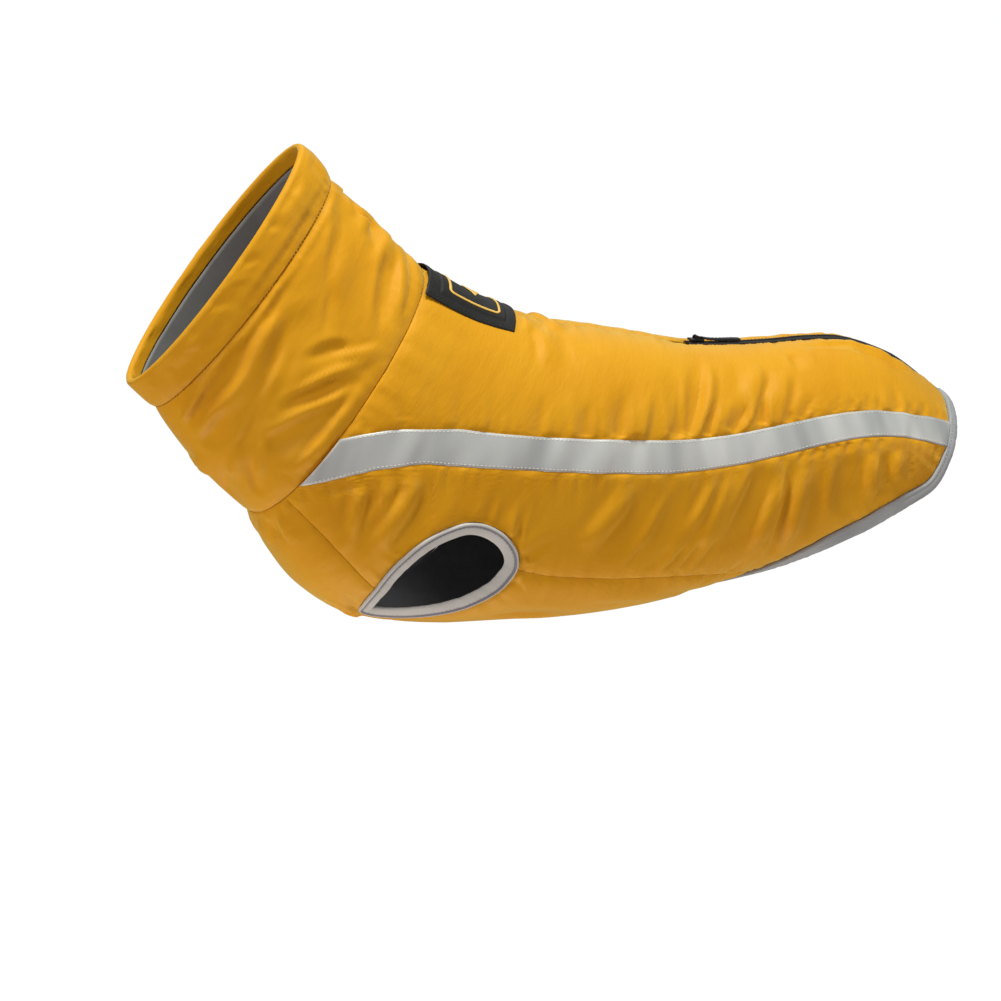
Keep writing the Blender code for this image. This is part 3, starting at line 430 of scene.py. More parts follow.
# %% Creases of a flank
SIDE_CREASES = [
    # above the tape
    Crease([(5.50, 16), (5.68, 30), (5.95, 46)], 6.0, 0.9),
    Crease([(5.15, 10), (5.22, 26)], 4.5, 0.9),
    Crease([(5.85, 0), (5.90, 18)], 5.0, 1.1),
    Crease([(6.36, 71), (6.18, 62), (6.05, 54)], 4.5, -1.1, FAR),
    Crease([(7.22, 69.5), (7.05, 62), (6.98, 54)], 4.5, -1.3, FAR),
    Crease([(7.80, 69), (7.62, 58), (7.50, 46)], 5.0, -1.6, FAR),
    Crease([(8.12, 68.5), (8.02, 56), (7.98, 44)], 5.0, 0.9, FAR),
    Crease([(8.86, 67), (8.66, 54), (8.50, 36)], 4.0, -2.2, FAR),
    Crease([(8.98, 67), (9.06, 44), (9.05, 14)], 5.0, -2.2, FAR),
    Crease([(9.18, 66), (9.26, 48), (9.26, 26)], 5.0, 0.8),
    Crease([(9.42, 66), (9.40, 56), (9.42, 46)], 3.5, -1.7, FAR),
    Crease([(9.88, 65.5), (10.08, 54), (10.10, 42)], 4.0, -2.0, FAR),
    Crease([(10.12, 64), (10.34, 44), (10.36, 28)], 6.0, 1.3),
    Crease([(10.52, 63), (10.44, 48), (10.70, 34)], 4.0, -2.0, FAR),
    Crease([(10.80, 61), (10.92, 46), (10.98, 34)], 6.0, 1.0),
    Crease([(11.12, 63), (11.06, 56)], 3.0, -1.5, FAR),
    Crease([(11.38, 62.5), (11.50, 56), (11.72, 50)], 3.0, -1.5, FAR),
    Crease([(11.20, 22), (11.42, 36)], 5.0, -1.0),
    Crease([(12.20, 61), (12.15, 52)], 3.0, -1.0, FAR),
    Crease([(12.58, 60), (12.50, 52)], 3.0, -1.1, FAR),
    Crease([(12.96, 60), (12.94, 50)], 3.0, -1.0, FAR),
    Crease([(13.22, 59.5), (13.15, 52)], 3.0, -0.9, FAR),
    Crease([(13.74, 58), (13.62, 50), (13.48, 42)], 3.5, -1.3, FAR),
    Crease([(14.06, 57), (14.00, 49)], 3.0, -1.1, FAR),
    Crease([(14.42, 55), (14.36, 46)], 3.0, -1.0, FAR),
    # beside the zip
    Crease([(11.50, 17), (12.20, 18), (12.80, 20)], 2.6, -1.2),
    Crease([(12.60, 19.5), (13.20, 22), (13.70, 24.5), (14.35, 28)], 3.2, -2.4),
    Crease([(11.80, 11), (13.00, 12.5), (14.40, 17)], 4.0, 0.9),
    # the breast, between tape, chest seam and armhole
    Crease([(3.50, 112), (3.38, 120), (3.36, 126)], 3.5, -1.7, FAR),
    Crease([(3.66, 110), (3.62, 120)], 3.0, -1.2, FAR),
    Crease([(3.80, 108), (4.15, 115), (4.62, 126)], 5.5, 1.5),
    Crease([(4.06, 103), (4.36, 114), (4.92, 129)], 5.5, -1.8),
    Crease([(4.16, 98.5), (4.46, 107), (4.62, 121)], 5.0, 1.4),
    Crease([(4.42, 94.5), (4.80, 100), (4.90, 112), (4.98, 126)], 6.0, 2.2),
    Crease([(4.86, 92), (5.16, 102), (5.28, 112), (5.44, 121)], 7.0, -2.2),
    Crease([(5.50, 118), (5.34, 114)], 3.0, -1.4, FAR),
    Crease([(5.64, 110), (5.52, 105)], 3.0, -1.2, FAR),
    Crease([(6.44, 99), (6.32, 93), (6.18, 88)], 3.0, -1.6, FAR),
    Crease([(7.14, 106), (7.00, 99), (6.84, 89)], 2.6, -2.4, FAR),
    Crease([(6.98, 104), (6.84, 98), (6.68, 90)], 3.5, 1.2, FAR),
    Crease([(7.42, 112), (7.52, 106), (7.66, 102)], 3.5, -1.7, FAR),
    # the flank, below the tape
    Crease([(8.30, 84), (8.20, 96), (8.06, 108)], 8.0, 1.1),
    Crease([(8.72, 83), (8.56, 97), (8.38, 112)], 8.0, -1.4),
    Crease([(9.30, 84), (9.20, 100), (9.12, 121)], 7.0, -1.7),
    Crease([(9.80, 82), (9.66, 104)], 5.0, 1.2),
    Crease([(10.16, 80), (10.05, 98), (9.95, 118)], 6.0, 1.3),
    Crease([(10.74, 80), (10.62, 96), (10.58, 122)], 8.0, -2.3),
    Crease([(11.08, 84), (11.04, 104), (11.10, 128)], 5.0, 1.7),
    Crease([(11.26, 78), (11.36, 97), (11.50, 120), (11.62, 138)], 3.6, -2.9),
    Crease([(11.54, 82), (11.62, 104), (11.80, 130)], 6.0, 1.7),
    Crease([(12.56, 80), (12.62, 98), (12.84, 117)], 8.0, -2.0),
    Crease([(13.10, 80), (13.20, 94), (13.36, 108)], 5.0, 1.6),
    Crease([(13.42, 80), (13.52, 92), (13.68, 104)], 4.5, -1.3),
    Crease([(13.72, 79), (13.82, 90), (13.92, 99)], 5.0, 1.2),
    # short gathers at the tape's lower edge and at the side seam
    Crease([(11.52, 77), (11.42, 83)], 2.6, -1.7, FAR),
    Crease([(11.80, 76.5), (11.72, 82)], 2.6, -1.6, FAR),
    Crease([(12.04, 76), (11.98, 84)], 2.6, -1.8, FAR),
    Crease([(12.26, 76), (12.22, 81)], 2.4, -1.5, FAR),
    Crease([(12.52, 75.5), (12.44, 83)], 2.6, -1.6, FAR),
    Crease([(12.92, 75), (12.88, 80)], 2.4, -1.3, FAR),
    Crease([(13.30, 74.5), (13.28, 80)], 2.4, -1.1, FAR),
    Crease([(9.02, 104), (8.98, 118)], 3.0, -1.3),
    Crease([(9.50, 106), (9.36, 122)], 3.0, -1.5),
    Crease([(9.74, 108), (9.62, 124)], 3.0, -1.5),
    Crease([(10.02, 106), (9.88, 126)], 3.5, -1.8),
    Crease([(10.26, 108), (10.16, 128)], 3.0, -1.5),
    Crease([(9.96, 130), (9.86, 122)], 3.0, -1.5, FAR),
    Crease([(10.34, 133), (10.26, 126)], 3.0, -1.5, FAR),
    Crease([(11.04, 142), (11.14, 128)], 3.0, -1.8, FAR),
]

# %% Creases of the underside
CHEST_CREASES = [
    Crease([(3.10, 148), (3.50, 150), (3.95, 150)], 5.0, 0.9),
    Crease([(3.10, 158), (3.60, 160)], 5.0, -0.9),
    Crease([(3.10, 170), (3.80, 171)], 6.0, 0.8),
    Crease([(5.92, 157), (5.60, 151), (5.20, 150)], 3.0, -1.7, FAR),
    Crease([(5.98, 162), (5.62, 160), (5.10, 163)], 3.5, 1.6, FAR),
    Crease([(6.02, 164), (5.70, 168), (5.30, 172)], 3.0, -1.6, FAR),
    Crease([(6.10, 168), (5.80, 175)], 3.5, 1.2, FAR),
    Crease([(7.50, 150), (8.20, 152), (8.90, 158)], 6.0, -1.2),
    Crease([(8.60, 134), (9.40, 140), (10.2, 152)], 7.0, 0.6),
    Crease([(9.80, 138), (10.4, 152), (10.8, 166)], 6.0, -0.4),
]

# %% Creases of the far side
def varied(creases, seed):
    """Like creases for the far side: each one moved a little, and made stronger or weaker."""
    pick = np.random.default_rng(seed)
    moved = []
    for crease in creases:
        step = pick.uniform(-0.12, 0.12)
        line = [(ring + step, girth + pick.uniform(-1.5, 1.5)) for ring, girth in crease.line]
        moved.append(crease._replace(line=line, height=crease.height * pick.uniform(0.7, 1.15)))
    return moved


RIGHT_SIDE_CREASES = varied(SIDE_CREASES, 3)
RIGHT_COLLAR_CREASES = varied(COLLAR_CREASES, 5)
RIGHT_CASING_CREASES = varied(CASING_CREASES, 7)
RIGHT_CHEST_CREASES = varied(CHEST_CREASES, 9)
print("creases placed:", len(COLLAR_CREASES + CASING_CREASES + SIDE_CREASES + CHEST_CREASES), "a side")

# %% [markdown]
# ## From creases to relief
#
# A crease's cross-section is a soft bell, with a weaker bell of the opposite sign at each side,
# because cloth that sinks in one place is pushed up next to it. A search tree finds the nearest seam
# to each point, and how far along that seam it is, which sets the puckers.

# %% Relief
LIP_AT, LIP_WIDE, LIP_SHARE = 1.9, 0.8, 0.3     # a crease's lips, by its half width
FOLD_GAIN = 2.9                                 # how far the wadding deepens every crease
FULL_WIDTH = 5.5                                # half width in mm under which a crease is shallower
LOOSEST, DEEPEST = 5.5, 2.9                     # limits of the relief, in mm
LINE_STEPS = 28
LEAN = 0.35                                     # a crease is steeper on one side by this share
POINT_SHARP, POINT_ROUND, POINT_TOP = 1.35, 0.08, 0.28      # a trough's soft point
CLEAR = 3.0                                     # mm beside a seam over which creases die


def crease_section(across, height):
    """Cross-section of a crease: a ridge is round, a trough comes to a soft point."""
    round_top = np.exp(-across**2)
    pointed = np.exp(-POINT_SHARP * (np.sqrt(across**2 + POINT_ROUND) - POINT_TOP))
    lips = LIP_SHARE * np.exp(-((across - LIP_AT) / LIP_WIDE)**2)
    return height * ((round_top if height > 0 else pointed) - lips)


def crease_relief(points, creases, sign):
    """Sum of the creases at the points, mm."""
    flat = points.reshape(-1, 3)
    relief = np.zeros(len(flat))
    share = np.linspace(0, 1, LINE_STEPS)
    for crease in creases:
        line = spline(crease.line, share * (len(crease.line) - 1))
        marks = skin(line[:, 0], sign * line[:, 1])
        normal = directions(line[:, 0], sign * line[:, 1])[2]
        way = sign * unit(np.cross(np.gradient(marks, axis=0), normal))
        first, last = crease.fade
        size = np.clip(share / first, 0, 1) * np.clip((1 - share) / last, 0, 1)
        size = size * size * (3 - 2 * size) * FOLD_GAIN * min(1, crease.half_width / FULL_WIDTH)
        reach = 3 * crease.half_width
        near = np.all((flat > marks.min(0) - reach) & (flat < marks.max(0) + reach), axis=1)
        if not near.any():
            continue
        gaps = np.linalg.norm(flat[near][:, None, :] - marks[None], axis=-1)
        closest = gaps.argmin(1)
        side = ((flat[near] - marks[closest]) * way[closest]).sum(-1) / crease.half_width
        across = gaps.min(1) / crease.half_width * (1 + LEAN * np.tanh(2 * side))
        relief[near] += crease_section(across, crease.height) * size[closest]
    return relief.reshape(points.shape[:-1])

# %% Uneven waves, and the way to the nearest seam
def uneven(at, waves, seed):
    """A wavy line that never quite repeats, from -1 to 1. The waves are lengths in mm."""
    pick = np.random.default_rng(seed)
    total = sum(np.sin(2 * np.pi * at / wave + pick.uniform(0, 2 * np.pi)) for wave in waves)
    swing = 0.6 + 0.4 * np.sin(2 * np.pi * at / (5.3 * waves[-1]) + pick.uniform(0, 2 * np.pi))
    return 1.4 * swing * total / len(waves)         # 1.4 brings the highest crests to about 1


def seam_tree(paths, sign=1):
    """Search tree over fine points of some seams, with the arc length at each of them."""
    points, arcs = [], []
    for path in paths:
        points.append(skin(path[:, 0], sign * path[:, 1]))
        arcs.append(length_of(path))
    points, arcs = np.vstack(points), np.concatenate(arcs)
    tree = KDTree(len(points))
    for index, point in enumerate(points):
        tree.insert(point, index)
    tree.balance()
    return tree, arcs


def seam_gap(tree_and_arcs, points):
    """Distance to the nearest seam and the place along it, mm, for each point."""
    tree, arcs = tree_and_arcs
    found = [tree.find(point) for point in points.reshape(-1, 3)]
    gap = np.array([hit[2] for hit in found]).reshape(points.shape[:-1])
    along = arcs[[hit[1] for hit in found]].reshape(points.shape[:-1])
    return gap, along

# %% Cloth beside a seam
GROOVE, ROLL, ROLL_REACH = 2.9, 2.3, 3.0        # seam's depth, height that its edge rolls up, in mm
PUFF, PUFF_REACH = 1.8, 14.0                    # wadding between seams
PUCKER, COLLAR_PUCKER = 0.55, 0.3               # gathers beside a seam, and beside the collar's
PUCKER_WAVES, PUCKER_REACH = (8.3, 13.9, 23.7), 0.95        # their lengths, and reach by length
STREAK, STREAK_WAVES = 0.3, (19.1, 31.7, 52.3)


def puckers(gap, along, seed, size=PUCKER):
    """Small gathers that a seam draws into the cloth. The longer ones reach further from it."""
    pick = np.random.default_rng(seed)
    total = 0
    for wave in PUCKER_WAVES:
        drift = 0.8 * np.sin(along / (2.7 * wave) + pick.uniform(0, 6)) + pick.uniform(0, 6)
        strength = 0.65 + 0.35 * np.sin(along / (1.9 * wave) + pick.uniform(0, 6))
        crest = np.sin(2 * np.pi * along / wave + drift)
        total = total + strength * (crest - 0.25 * crest**2) * np.exp(-gap / (PUCKER_REACH * wave))
    return size * total * (1 - np.exp(-gap / 1.2))


def swell(gap, along, seed, size=PUCKER):
    """Height of padded cloth beside a seam: groove, rolled edge, wadding and puckers."""
    rolled = ROLL * (1 - np.exp(-gap / ROLL_REACH)) + PUFF * (1 - np.exp(-gap / PUFF_REACH))
    return rolled - GROOVE + puckers(gap, along, seed, size)


def streaks(ring, girth, seed):
    """Faint folds that run round the body all over, where the wadding has slipped."""
    lean = 2.5 * np.sin(np.radians(girth * 2.1) + seed) + 1.5 * np.sin(ring * 2.3 + seed)
    at = ring * BODY_RING + lean
    patchy = 0.5 + 0.5 * np.sin(ring * 1.7 + np.radians(girth) * 3.1 + seed)
    return STREAK * patchy * uneven(at, STREAK_WAVES, seed)


def settled(height):
    """Keep relief between the lining and the loosest that the cloth gets."""
    limit = np.where(height > 0, LOOSEST, DEEPEST)
    return limit * np.tanh(height / limit)


# %% [markdown]
# ## Heights of each piece of cloth
#
# Each panel's outer face is its relief over the tube. Under the tape a side panel is held flat, and
# only long soft waves run through both.

# %% Borders of the panels
TAPE_SINK, TAPE_THICK = 0.7, 0.6        # mm that the tape sinks into the padding, and its own
TAPE_WAVE, TAPE_WAVES = 1.5, (24.0, 31.0, 53.0)
TAPE_HOLD = 2.6                 # mm beside the tape over which its stitching holds the cloth down
SAG, SAG_REACH = 2.0, 12.0      # mm that the cloth tucks in below the tape, and how gently
RIM_STEP, RIM_STEP_REACH = 1.3, 6.0     # mm that the rim band stands over the collar at their seam
RIM_CALM = 0.6                  # the double cloth of the rim band creases less


def ring_path(ring, first=0, last=360, count=240):
    """Places along one ring."""
    return np.stack([np.full(count, float(ring)), np.linspace(first, last, count)], -1)


tape_rings = np.linspace(NECK_SEAM, 15.4, 260)
TAPE_TOP = np.stack([tape_rings, tape_edges(tape_rings)[0]], -1)
TAPE_BOTTOM = np.stack([tape_rings, tape_edges(tape_rings)[1]], -1)
zip_rings = np.linspace(NECK_SEAM, 15.3, 300)
CENTRE_BACK = np.stack([zip_rings, girth_at(zip_rings, half_opening(zip_rings))], -1)
SIDE_BORDERS = [ring_path(NECK_SEAM, 0, 139), sampled(CHEST_SEAM, 0, 4, 120), SIDE_EDGE,
                sampled(ARMHOLE, 0, ARMHOLE_REAR, 200, closed=True), FLANK_EDGE, TAIL_EDGE, CENTRE_BACK]
CHEST_BORDERS = [sampled(CHEST_SEAM, 0, 4, 120), SIDE_EDGE, BELLY_EDGE,
                 sampled(ARMHOLE, len(ARMHOLE), ARMHOLE_REAR, 200, closed=True)]

# %% Face of a side panel
def side_face(grid, sign):
    """Outer face of a side panel over the tube, mm. Grid holds the left side's places."""
    ring, girth = np.moveaxis(grid, -1, 0)
    points = skin(ring, sign * girth)
    gap, along = seam_gap(seam_tree(SIDE_BORDERS, sign), points)
    tape_gap, tape_along = seam_gap(seam_tree([TAPE_TOP, TAPE_BOTTOM], sign), points)
    creases = crease_relief(points, SIDE_CREASES if sign > 0 else RIGHT_SIDE_CREASES, sign)
    loose = swell(gap, along, 11 + sign) + streaks(ring, girth, 15 + sign)
    loose = loose + creases * (1 - np.exp(-gap / CLEAR)) + 1.3 * puckers(tape_gap, tape_along, 21 + sign)
    top, bottom = tape_edges(ring)
    tucked = SAG * (1 - np.exp(-tape_gap / SAG_REACH)) * (1 - np.exp(-gap / SAG_REACH))
    loose = loose - np.where(girth > bottom, tucked, 0)
    under = (girth >= top - 1e-6) & (girth <= bottom + 1e-6)
    wave = TAPE_WAVE * uneven(ring * BODY_RING, TAPE_WAVES, 31 + sign) + 0.3 * np.clip(creases, -2, 2)
    held = np.exp(-tape_gap / TAPE_HOLD)
    beside = loose * (1 - held) + (wave - TAPE_SINK) * held
    return settled(np.where(under, wave - TAPE_SINK, beside))

# %% Faces of the collar, its rim band and the underside
def collar_face(ring, girth):
    """Outer face of the collar. It is one piece all round, so both sides' creases meet on it."""
    points = skin(ring, girth)
    gap, along = seam_gap(seam_tree([ring_path(CASING_SEAM), ring_path(NECK_SEAM)]), points)
    creases = crease_relief(points, COLLAR_CREASES, 1) + crease_relief(points, RIGHT_COLLAR_CREASES, -1)
    loose = swell(gap, along, 41, COLLAR_PUCKER) + streaks(ring, girth, 42)
    loose = loose - RIM_STEP * np.exp(-(ring - CASING_SEAM) * COLLAR_RING / RIM_STEP_REACH)
    return settled(loose + creases * (1 - np.exp(-gap / CLEAR)))


def casing_face(ring, girth):
    """Outer face of the rim band, which has a seam at its back and a fold at its front."""
    points = skin(ring, girth)
    gap, along = seam_gap(seam_tree([ring_path(CASING_SEAM)]), points)
    creases = crease_relief(points, CASING_CREASES, 1) + crease_relief(points, RIGHT_CASING_CREASES, -1)
    loose = swell(gap, along, 43, COLLAR_PUCKER)
    loose = loose + RIM_STEP / 2 * np.exp(-(CASING_SEAM - ring) * COLLAR_RING / RIM_STEP_REACH)
    return settled(loose + RIM_CALM * creases * (1 - np.exp(-gap / CLEAR)))


def chest_face(grid):
    """Outer face of the underside panel."""
    ring, girth = np.moveaxis(grid, -1, 0)
    points = skin(ring, girth)
    left, left_along = seam_gap(seam_tree(CHEST_BORDERS + [ring_path(NECK_SEAM, 139, 221, 90)]), points)
    right, right_along = seam_gap(seam_tree(CHEST_BORDERS, -1), points)
    gap = np.minimum(left, right)
    along = np.where(left < right, left_along, right_along)
    creases = crease_relief(points, CHEST_CREASES, 1) + crease_relief(points, RIGHT_CHEST_CREASES, -1)
    return settled(swell(gap, along, 47) + creases * (1 - np.exp(-gap / CLEAR)))


# %% [markdown]
# ## Making the meshes
#
# A panel starts as a grid primitive with one vertex for each place. Its vertices are laid on the
# tube, Solidify gives it a second face, and that face is laid at the wadding's inner side. A closed
# band, such as the collar, starts as a torus in the same way: one direction runs round the body, the
# other round the band's own section. Both keep the primitive's clean grid of four-sided faces.

# %% Helpers that lay primitives on the coat
def only(piece):
    """Make this the only selected object, because an operator acts on all that is selected."""
    bpy.ops.object.select_all(action="DESELECT")
    piece.select_set(True)
    bpy.context.view_layer.objects.active = piece


def added(primitive, **how):
    """Add a primitive with nothing else selected, and move its place and turn into its mesh."""
    bpy.ops.object.select_all(action="DESELECT")
    primitive(**how)
    bpy.ops.object.transform_apply(location=True, rotation=True, scale=True)
    return bpy.context.object


def edited(piece, change, **how):
    """Change the whole mesh of a piece by one operator in edit mode."""
    only(piece)
    bpy.ops.object.mode_set(mode="EDIT")
    bpy.ops.mesh.select_all(action="SELECT")
    change(**how)
    bpy.ops.object.mode_set(mode="OBJECT")


def apply_all(piece):
    """Apply all the modifiers of a piece, in their order."""
    only(piece)
    for modifier in list(piece.modifiers):
        bpy.ops.object.modifier_apply(modifier=modifier.name)


def outwards(piece):
    """Turn every face to the outside and shade the piece smoothly."""
    edited(piece, bpy.ops.mesh.normals_make_consistent, inside=False)
    bpy.ops.object.shade_smooth()

# %% A panel on its grid, and a closed band
def lifted(ring, girth, height):
    """Points at a height over the coat's surface, metres."""
    height = np.broadcast_to(height, ring.shape)[..., None]
    return (skin(ring, girth) + height * directions(ring, girth)[2]) * MM


def set_uv(piece, places):
    """UVs in metres, along the coat and round it, so that a weave keeps its size."""
    layer = piece.data.uv_layers.active or piece.data.uv_layers.new(name="UVMap")
    corners = np.zeros(len(piece.data.loops), np.int32)
    piece.data.loops.foreach_get("vertex_index", corners)
    metres = places * (BODY_RING * MM, GIRTH_DEGREE * MM)
    layer.data.foreach_set("uv", metres[corners].ravel().astype(np.float32))


def laid_panel(name, grid, outer, inner, material):
    """A closed panel over a grid of places, between two heights in mm."""
    columns, rows = grid.shape[:2]
    piece = added(bpy.ops.mesh.primitive_grid_add, x_subdivisions=columns - 1, y_subdivisions=rows - 1,
                  size=1)
    piece.name = name
    spot = np.zeros(columns * rows * 3, np.float32)
    piece.data.vertices.foreach_get("co", spot)
    spot = spot.reshape(-1, 3)
    i = np.rint((spot[:, 0] + 0.5) * (columns - 1)).astype(int)
    j = np.rint((spot[:, 1] + 0.5) * (rows - 1)).astype(int)
    piece.modifiers.new("second face", "SOLIDIFY")
    apply_all(piece)
    ring, girth = np.moveaxis(grid, -1, 0)
    layers = [lifted(ring, girth, height)[i, j] for height in (outer, inner)]
    piece.data.vertices.foreach_set("co", np.vstack(layers).astype(np.float32).ravel())
    set_uv(piece, np.tile(grid[i, j], (2, 1)))
    piece.data.materials.append(material)
    outwards(piece)
    return piece


BAND_STEPS = 256                # the most segments that a torus primitive takes


def laid_band(name, ring, girth, height, material):
    """A closed band: first direction round the body, second round the band's own section."""
    around, section = ring.shape
    piece = added(bpy.ops.mesh.primitive_torus_add, major_segments=around, minor_segments=section)
    piece.name = name
    piece.data.vertices.foreach_set("co", lifted(ring, girth, height).astype(np.float32).ravel())
    set_uv(piece, np.stack([ring, girth], -1).reshape(-1, 2))
    piece.data.materials.append(material)
    outwards(piece)
    return piece


# %% [markdown]
# ## Materials
#
# Colours are written as sRGB hex values, as a paint chip gives them, and one function turns them to
# the linear values that the shader needs. One more small function adds a node with its settings and
# links, which keeps each material to a few lines.

# %% Colour and node helpers
def linear(code):
    """Linear colour from an sRGB hex value."""
    parts = [int(code[i:i + 2], 16) / 255 for i in (1, 3, 5)]
    return (*(c / 12.92 if c <= 0.04045 else ((c + 0.055) / 1.055)**2.4 for c in parts), 1)


def node(tree, kind, links=None, **settings):
    """Add a node, set its properties, and fill its sockets with values or with other sockets."""
    made = tree.nodes.new("ShaderNode" + kind)
    for key, value in settings.items():
        setattr(made, key, value)
    for socket, value in (links or {}).items():
        if isinstance(value, bpy.types.NodeSocket):
            tree.links.new(value, made.inputs[socket])
        else:
            made.inputs[socket].default_value = value
    return made


def started(name, roughness, **sockets):
    """A new material with its shader; returns material, node tree and shader."""
    material = bpy.data.materials.new(name)
    material.use_nodes = True
    tree = material.node_tree
    shader = tree.nodes["Principled BSDF"]
    shader.inputs["Roughness"].default_value = roughness
    for socket, value in sockets.items():
        shader.inputs[socket.replace("_", " ")].default_value = value
    return material, tree, shader


def mottled(tree, shader, vector, low, high, patch_mm, detail=3.0):
    """Base colour that drifts between two shades over patches of a real size."""
    noise = node(tree, "TexNoise", {"Vector": vector, "Scale": 1 / (patch_mm * MM), "Detail": detail})
    ramp = node(tree, "ValToRGB", {"Fac": noise.outputs["Fac"]})
    ramp.color_ramp.elements[0].position, ramp.color_ramp.elements[0].color = 0.3, linear(low)
    ramp.color_ramp.elements[1].position, ramp.color_ramp.elements[1].color = 0.7, linear(high)
    tree.links.new(ramp.outputs["Color"], shader.inputs["Base Color"])
    return ramp


WAVE_UNIT = 0.314               # a Wave texture of this scale repeats once for each unit


def woven(tree, vector, thread_mm, previous, depth_mm, strength=0.5):
    """Bump of a plain weave: two sets of threads that cross."""
    heights = []
    for direction in ("X", "Y"):
        wave = node(tree, "TexWave", {"Vector": vector, "Scale": WAVE_UNIT / (thread_mm * MM),
                                      "Distortion": 0.3}, bands_direction=direction)
        heights.append(wave.outputs["Fac"])
    crossed = node(tree, "Math", {0: heights[0], 1: heights[1]}, operation="MULTIPLY")
    bump = node(tree, "Bump", {"Height": crossed.outputs[0], "Distance": depth_mm * MM,
                               "Strength": strength})
    if previous is not None:
        tree.links.new(previous, bump.inputs["Normal"])
    return bump.outputs["Normal"]


# %% [markdown]
# ### Coated yellow cloth
#
# The shell is a fine polyester with a matt water-repellent coating. It has a soft sheen and no
# visible threads from a step away, but a faint crinkle that runs round the body, because the cloth
# is drawn along it. The crinkle is noise that is stretched one way, on the piece's own UVs.

# %% Yellow cloth
CRINKLE_LONG, CRINKLE_ROUND, CRINKLE_DEEP = 9.0, 26.0, 1.6      # mm along the coat, round it and deep


def yellow_cloth():
    """Coated cloth: drifting yellow, a crinkle, and a fine weave over it."""
    material, tree, shader = started("coated polyester, yellow", 0.55, Specular_IOR_Level=0.2,
                                     Sheen_Weight=0.45, Sheen_Roughness=0.4,
                                     Sheen_Tint=linear("#F4FFA8"))
    uv = node(tree, "UVMap").outputs["UV"]
    mottled(tree, shader, uv, "#DA970E", "#E2A218", 55)
    stretch = (1 / (CRINKLE_LONG * MM), 1 / (CRINKLE_ROUND * MM), 1)
    drawn = node(tree, "Mapping", {"Vector": uv, "Scale": stretch})
    crinkle = node(tree, "TexNoise", {"Vector": drawn.outputs[0], "Scale": 1.0, "Detail": 4.5,
                                      "Roughness": 0.62})
    soft = node(tree, "Bump", {"Height": crinkle.outputs["Fac"], "Distance": CRINKLE_DEEP * MM,
                               "Strength": 0.5})
    normal = woven(tree, uv, 0.9, soft.outputs["Normal"], 0.05, 0.35)
    tree.links.new(normal, shader.inputs["Normal"])
    return material


CLOTH = yellow_cloth()

# %% [markdown]
# ### Lining, tape, bindings, zip and badge
#
# The lining is plain grey taffeta. Reflective tape is cloth covered in glass beads: pale grey, with
# a broad satin shine; painted light and shade lay lighter and darker bands across it where it waves.
# The zip is black nylon, its slider painted metal, and the badge soft black rubber with gold print.

# %% Other cloths
def plain_weave(name, low, high, roughness, thread_mm, depth_mm, **sockets):
    """Cloth of one colour with a weave that shows."""
    material, tree, shader = started(name, roughness, **sockets)
    uv = node(tree, "UVMap").outputs["UV"]
    mottled(tree, shader, uv, low, high, 30)
    normal = woven(tree, uv, thread_mm, None, depth_mm, 0.6)
    tree.links.new(normal, shader.inputs["Normal"])
    return material


def bead_tape_painted_bands():
    """Tape with soft grey bands across it: painted light and shade standing in for that of its waves."""
    material, tree, shader = started("glass bead tape", 0.45, Metallic=0.1)
    uv = node(tree, "UVMap").outputs["UV"]
    lean = math.radians(-26)        # the rings lean over the tape, and the painted shade bands run square to it
    across = node(tree, "Mapping", {"Vector": uv, "Rotation": (0, 0, lean), "Scale": (1, 9, 1)},
                  vector_type="TEXTURE")
    # painted light and shade: the grey turns lighter and darker in bands across the tape
    mottled(tree, shader, across.outputs[0], "#ACB0B7", "#D6D9DF", 20, 1.0)
    tree.links.new(woven(tree, uv, 0.8, None, 0.04, 0.6), shader.inputs["Normal"])
    return material


LINING = plain_weave("lining taffeta, grey", "#77777C", "#828287", 0.6, 1.0, 0.05)
TAPE_CLOTH = bead_tape_painted_bands()
BINDING = plain_weave("woven binding, grey", "#9EA2AC", "#AAAEB7", 0.6, 1.2, 0.12)
PALE = plain_weave("knitted elastic, pale grey", "#C0C0C4", "#CECED2", 0.75, 1.3, 0.12)
GROOVE_CLOTH = plain_weave("elastic groove, mauve grey", "#82808E", "#8E8C99", 0.75, 1.3, 0.1)
ZIP_CLOTH = plain_weave("zip tape, black", "#1B1C20", "#222328", 0.8, 1.0, 0.12)

# %% Moulded, painted and printed finishes, and threads
def solid_finish(name, low, high, roughness, grain_mm, depth_mm, **sockets):
    """A moulded or painted surface: slow colour drift and a fine grain, on Object coordinates."""
    material, tree, shader = started(name, roughness, **sockets)
    place = node(tree, "TexCoord").outputs["Object"]
    mottled(tree, shader, place, low, high, 12)
    grain = node(tree, "TexNoise", {"Vector": place, "Scale": 1 / (grain_mm * MM), "Detail": 2.0})
    bump = node(tree, "Bump", {"Height": grain.outputs["Fac"], "Distance": depth_mm * MM, "Strength": 0.5})
    tree.links.new(bump.outputs["Normal"], shader.inputs["Normal"])
    return material


RUBBER = solid_finish("soft PVC rubber, black", "#17171A", "#1F1F23", 0.6, 1.2, 0.05,
                      Specular_IOR_Level=0.35)
GILT = solid_finish("gold print", "#E6B654", "#F2C766", 0.45, 1.5, 0.04)
NYLON = solid_finish("nylon coil, black", "#191A1E", "#222327", 0.4, 0.8, 0.02)
METAL = solid_finish("painted zinc, black", "#17181B", "#202226", 0.35, 0.9, 0.01, Metallic=0.4)
YELLOW_THREAD = solid_finish("thread, amber", "#C0821C", "#CC8F28", 0.6, 0.5, 0.02)
PALE_THREAD = solid_finish("thread, white", "#DCDBDD", "#E6E5E6", 0.6, 0.5, 0.02)
GREY_THREAD = solid_finish("thread, grey", "#B2B4BE", "#BEC0C9", 0.6, 0.5, 0.02)
BLACK_THREAD = solid_finish("thread, black", "#141518", "#1D1E22", 0.6, 0.5, 0.02)
